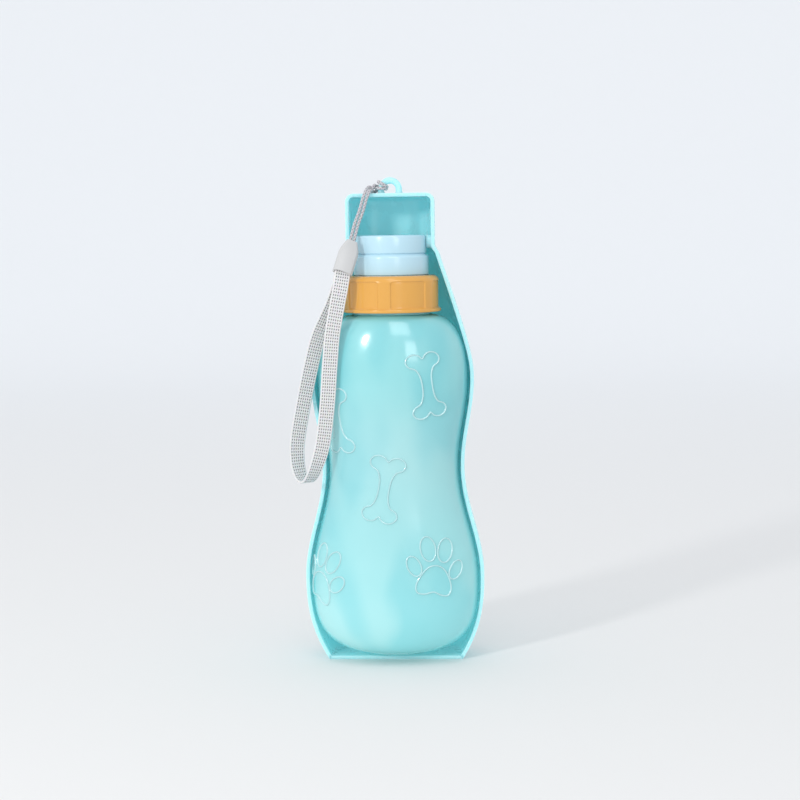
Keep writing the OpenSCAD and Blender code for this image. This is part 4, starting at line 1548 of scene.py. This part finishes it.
def tray_stations():
    """Rows of the tray's skin: place in z, the z that gives its size, growth and share of depth."""
    outer = TRAY_WALL
    end_shares = (0.0, 0.2, 0.4, 0.6, 0.8, 0.93)
    step_z = PIVOT_Z - BOSS_R - NECK_STEP / 2
    corner_z = TRAY_TOP - TOP_CORNER
    heights = [0.0]
    heights += [LOWER_BELLY_Z * k / 9 for k in range(1, 9)]
    heights += [mix(LOWER_BELLY_Z, UPPER_BELLY_Z, k / 40) for k in range(41)]
    heights += [mix(UPPER_BELLY_Z, step_z, k / 24) for k in range(1, 25)]
    heights += [step_z + NECK_STEP * k / 8 for k in range(1, 9)]
    heights += [mix(step_z + NECK_STEP, corner_z, k / 3) for k in range(1, 4)]
    stations = [(0.0, 0.0, outer, share) for share in end_shares]
    stations += [(z, z, outer, 1.0) for z in heights]
    for k in range(1, 10):
        a = math.radians(10 * k)
        grow = outer - TOP_CORNER * (1 - math.cos(a))
        stations.append((corner_z + TOP_CORNER * math.sin(a), corner_z, grow, 1.0))
    return stations + [(TRAY_TOP, corner_z, outer - TOP_CORNER, share) for share in end_shares[::-1]]


class TRAVELBOTTLE_OT_tray(PieceOperator, bpy.types.Operator):
    """Makes the folding trough with its rim, pivots and hanging eye"""

    bl_idname = "travel_bottle.tray"
    bl_label = "Drinking Tray"

    def execute(self, context):
        stations = tray_stations()

        def place(i, j):
            z, at_z, grow, share = stations[j]
            half = tray_half(at_z) + grow
            deep = (tray_deep(at_z) + RIM_FRONT + grow) * share
            a = math.pi * i / TRAY_SIDES
            x = half * signed_power(math.cos(a), 2 / TRAY_POWER)
            return Vector((x, deep * power(math.sin(a), 2 / TRAY_POWER) - RIM_FRONT, z))

        bm = bmesh.new()
        grid_sheet(bm, TRAY_SIDES, len(stations) - 1, place)
        trough = place_piece("tray_trough", bm, "tray_moulded", "tray", ["tray_shell"], 45)
        back = max(trough.data.polygons, key=lambda f: f.center.y)
        add_wall(trough, TRAY_WALL, back.normal.y > 0)
        add_bevel(trough, sizes().rim_round, 40)
        self.make_pins()
        self.make_eye()
        return {"FINISHED"}

    def make_pins(self):
        wall = TRAY_NECK_HALF + 0.8 * MM
        start = UPPER_TIER_R + BOSS_GAP
        profile = [
            (0.0, SOCKET_X + BOSS_GAP),
            (PIN_R - 0.3 * MM, SOCKET_X + BOSS_GAP),
            (PIN_R, SOCKET_X + BOSS_GAP + 0.3 * MM),
            (PIN_R, start),
            (BOSS_R - 0.2 * MM, start),
            (BOSS_R, start + 0.2 * MM),
            (BOSS_R, wall - 1.1 * MM),
            (BOSS_R + 0.35 * MM, wall - 0.8 * MM),
            (BOSS_R + 0.35 * MM, wall),
            (0.0, wall),
        ]
        for name, side in (("right", 1), ("left", -1)):
            bm = bmesh.new()
            geom = chain(bm, [(side * x, 0.0, PIVOT_Z + r) for r, x in profile], False)
            spin_round(bm, geom, PIN_SIDES, (0, 0, PIVOT_Z), (1, 0, 0))
            bmesh.ops.remove_doubles(bm, verts=bm.verts, dist=0.002 * MM)
            place_piece(f"pivot_pin_{name}", bm, "tray_moulded", "tray")

    def make_eye(self):
        path = []
        root = TRAY_TOP - TRAY_WALL / 2
        flare_top = TRAY_TOP + 1.1 * MM
        for z in (root, TRAY_TOP - 0.1 * MM, TRAY_TOP + 0.5 * MM, flare_top, EYE_Z):
            flare = 1.0 + EYE_FLARE * clamp01((flare_top - z) / EYE_FLARE_H) ** 2
            path.append((Vector((EYE_R, EYE_BACK, z)), 0.0, flare))
        for k in range(1, EYE_ROWS):
            a = math.pi * k / EYE_ROWS
            spot = Vector((EYE_R * math.cos(a), EYE_BACK, EYE_Z + EYE_R * math.sin(a)))
            path.append((spot, a, 1.0))
        for spot, _, flare in path[4::-1]:
            path.append((Vector((-spot.x, spot.y, spot.z)), math.pi, flare))

        def ring(entry):
            spot, a, flare = entry
            out = Vector((math.cos(a), 0, math.sin(a)))

            def place(turn):
                reach = EYE_BAR_R * flare
                return spot + out * reach * math.cos(turn) + Vector((0, 1, 0)) * reach * math.sin(turn)

            return place

        bm = bmesh.new()
        tower(bm, [ring(entry) for entry in path], EYE_SIDES)
        place_piece("hanging_eye", bm, "tray_moulded", "tray")


OPERATORS = (
    TRAVELBOTTLE_OT_camera,
    TRAVELBOTTLE_OT_ferrule,
    TRAVELBOTTLE_OT_knot,
    TRAVELBOTTLE_OT_cord,
    TRAVELBOTTLE_OT_webbing,
    TRAVELBOTTLE_OT_bottle,
    TRAVELBOTTLE_OT_motifs,
    TRAVELBOTTLE_OT_head,
    TRAVELBOTTLE_OT_collar,
    TRAVELBOTTLE_OT_seals,
    TRAVELBOTTLE_OT_tray,
    TRAVELBOTTLE_OT_stage,
)


class TRAVELBOTTLE_PT_panel(bpy.types.Panel):
    """Lists the bottle's pieces, sizes and colours"""

    bl_label = "Travel Bottle"
    bl_idname = "TRAVELBOTTLE_PT_panel"
    bl_space_type = "VIEW_3D"
    bl_region_type = "UI"
    bl_category = "Travel Bottle"

    def draw(self, context):
        column = self.layout.column(align=True)
        for operator in OPERATORS:
            column.operator(operator.bl_idname, text=operator.bl_label)
        for values in (sizes(), colours()):
            box = self.layout.box()
            for name in values.__annotations__:
                box.prop(values, name)


CLASSES = (TravelBottleSizes, TravelBottleColours) + OPERATORS + (TRAVELBOTTLE_PT_panel,)


def register():
    for made in CLASSES:
        bpy.utils.register_class(made)
    bpy.types.Scene.travel_bottle_sizes = PointerProperty(type=TravelBottleSizes)
    bpy.types.Scene.travel_bottle_colours = PointerProperty(type=TravelBottleColours)


def unregister():
    del bpy.types.Scene.travel_bottle_colours
    del bpy.types.Scene.travel_bottle_sizes
    for made in reversed(CLASSES):
        bpy.utils.unregister_class(made)


def main():
    register()
    make_materials()
    bpy.ops.travel_bottle.camera()
    bpy.ops.travel_bottle.ferrule()
    bpy.ops.travel_bottle.knot()
    bpy.ops.travel_bottle.cord()
    bpy.ops.travel_bottle.webbing()
    bpy.ops.travel_bottle.bottle()
    bpy.ops.travel_bottle.motifs()
    bpy.ops.travel_bottle.head()
    bpy.ops.travel_bottle.collar()
    bpy.ops.travel_bottle.seals()
    bpy.ops.travel_bottle.tray()
    bpy.ops.travel_bottle.stage()


if __name__ == "__main__":
    main()
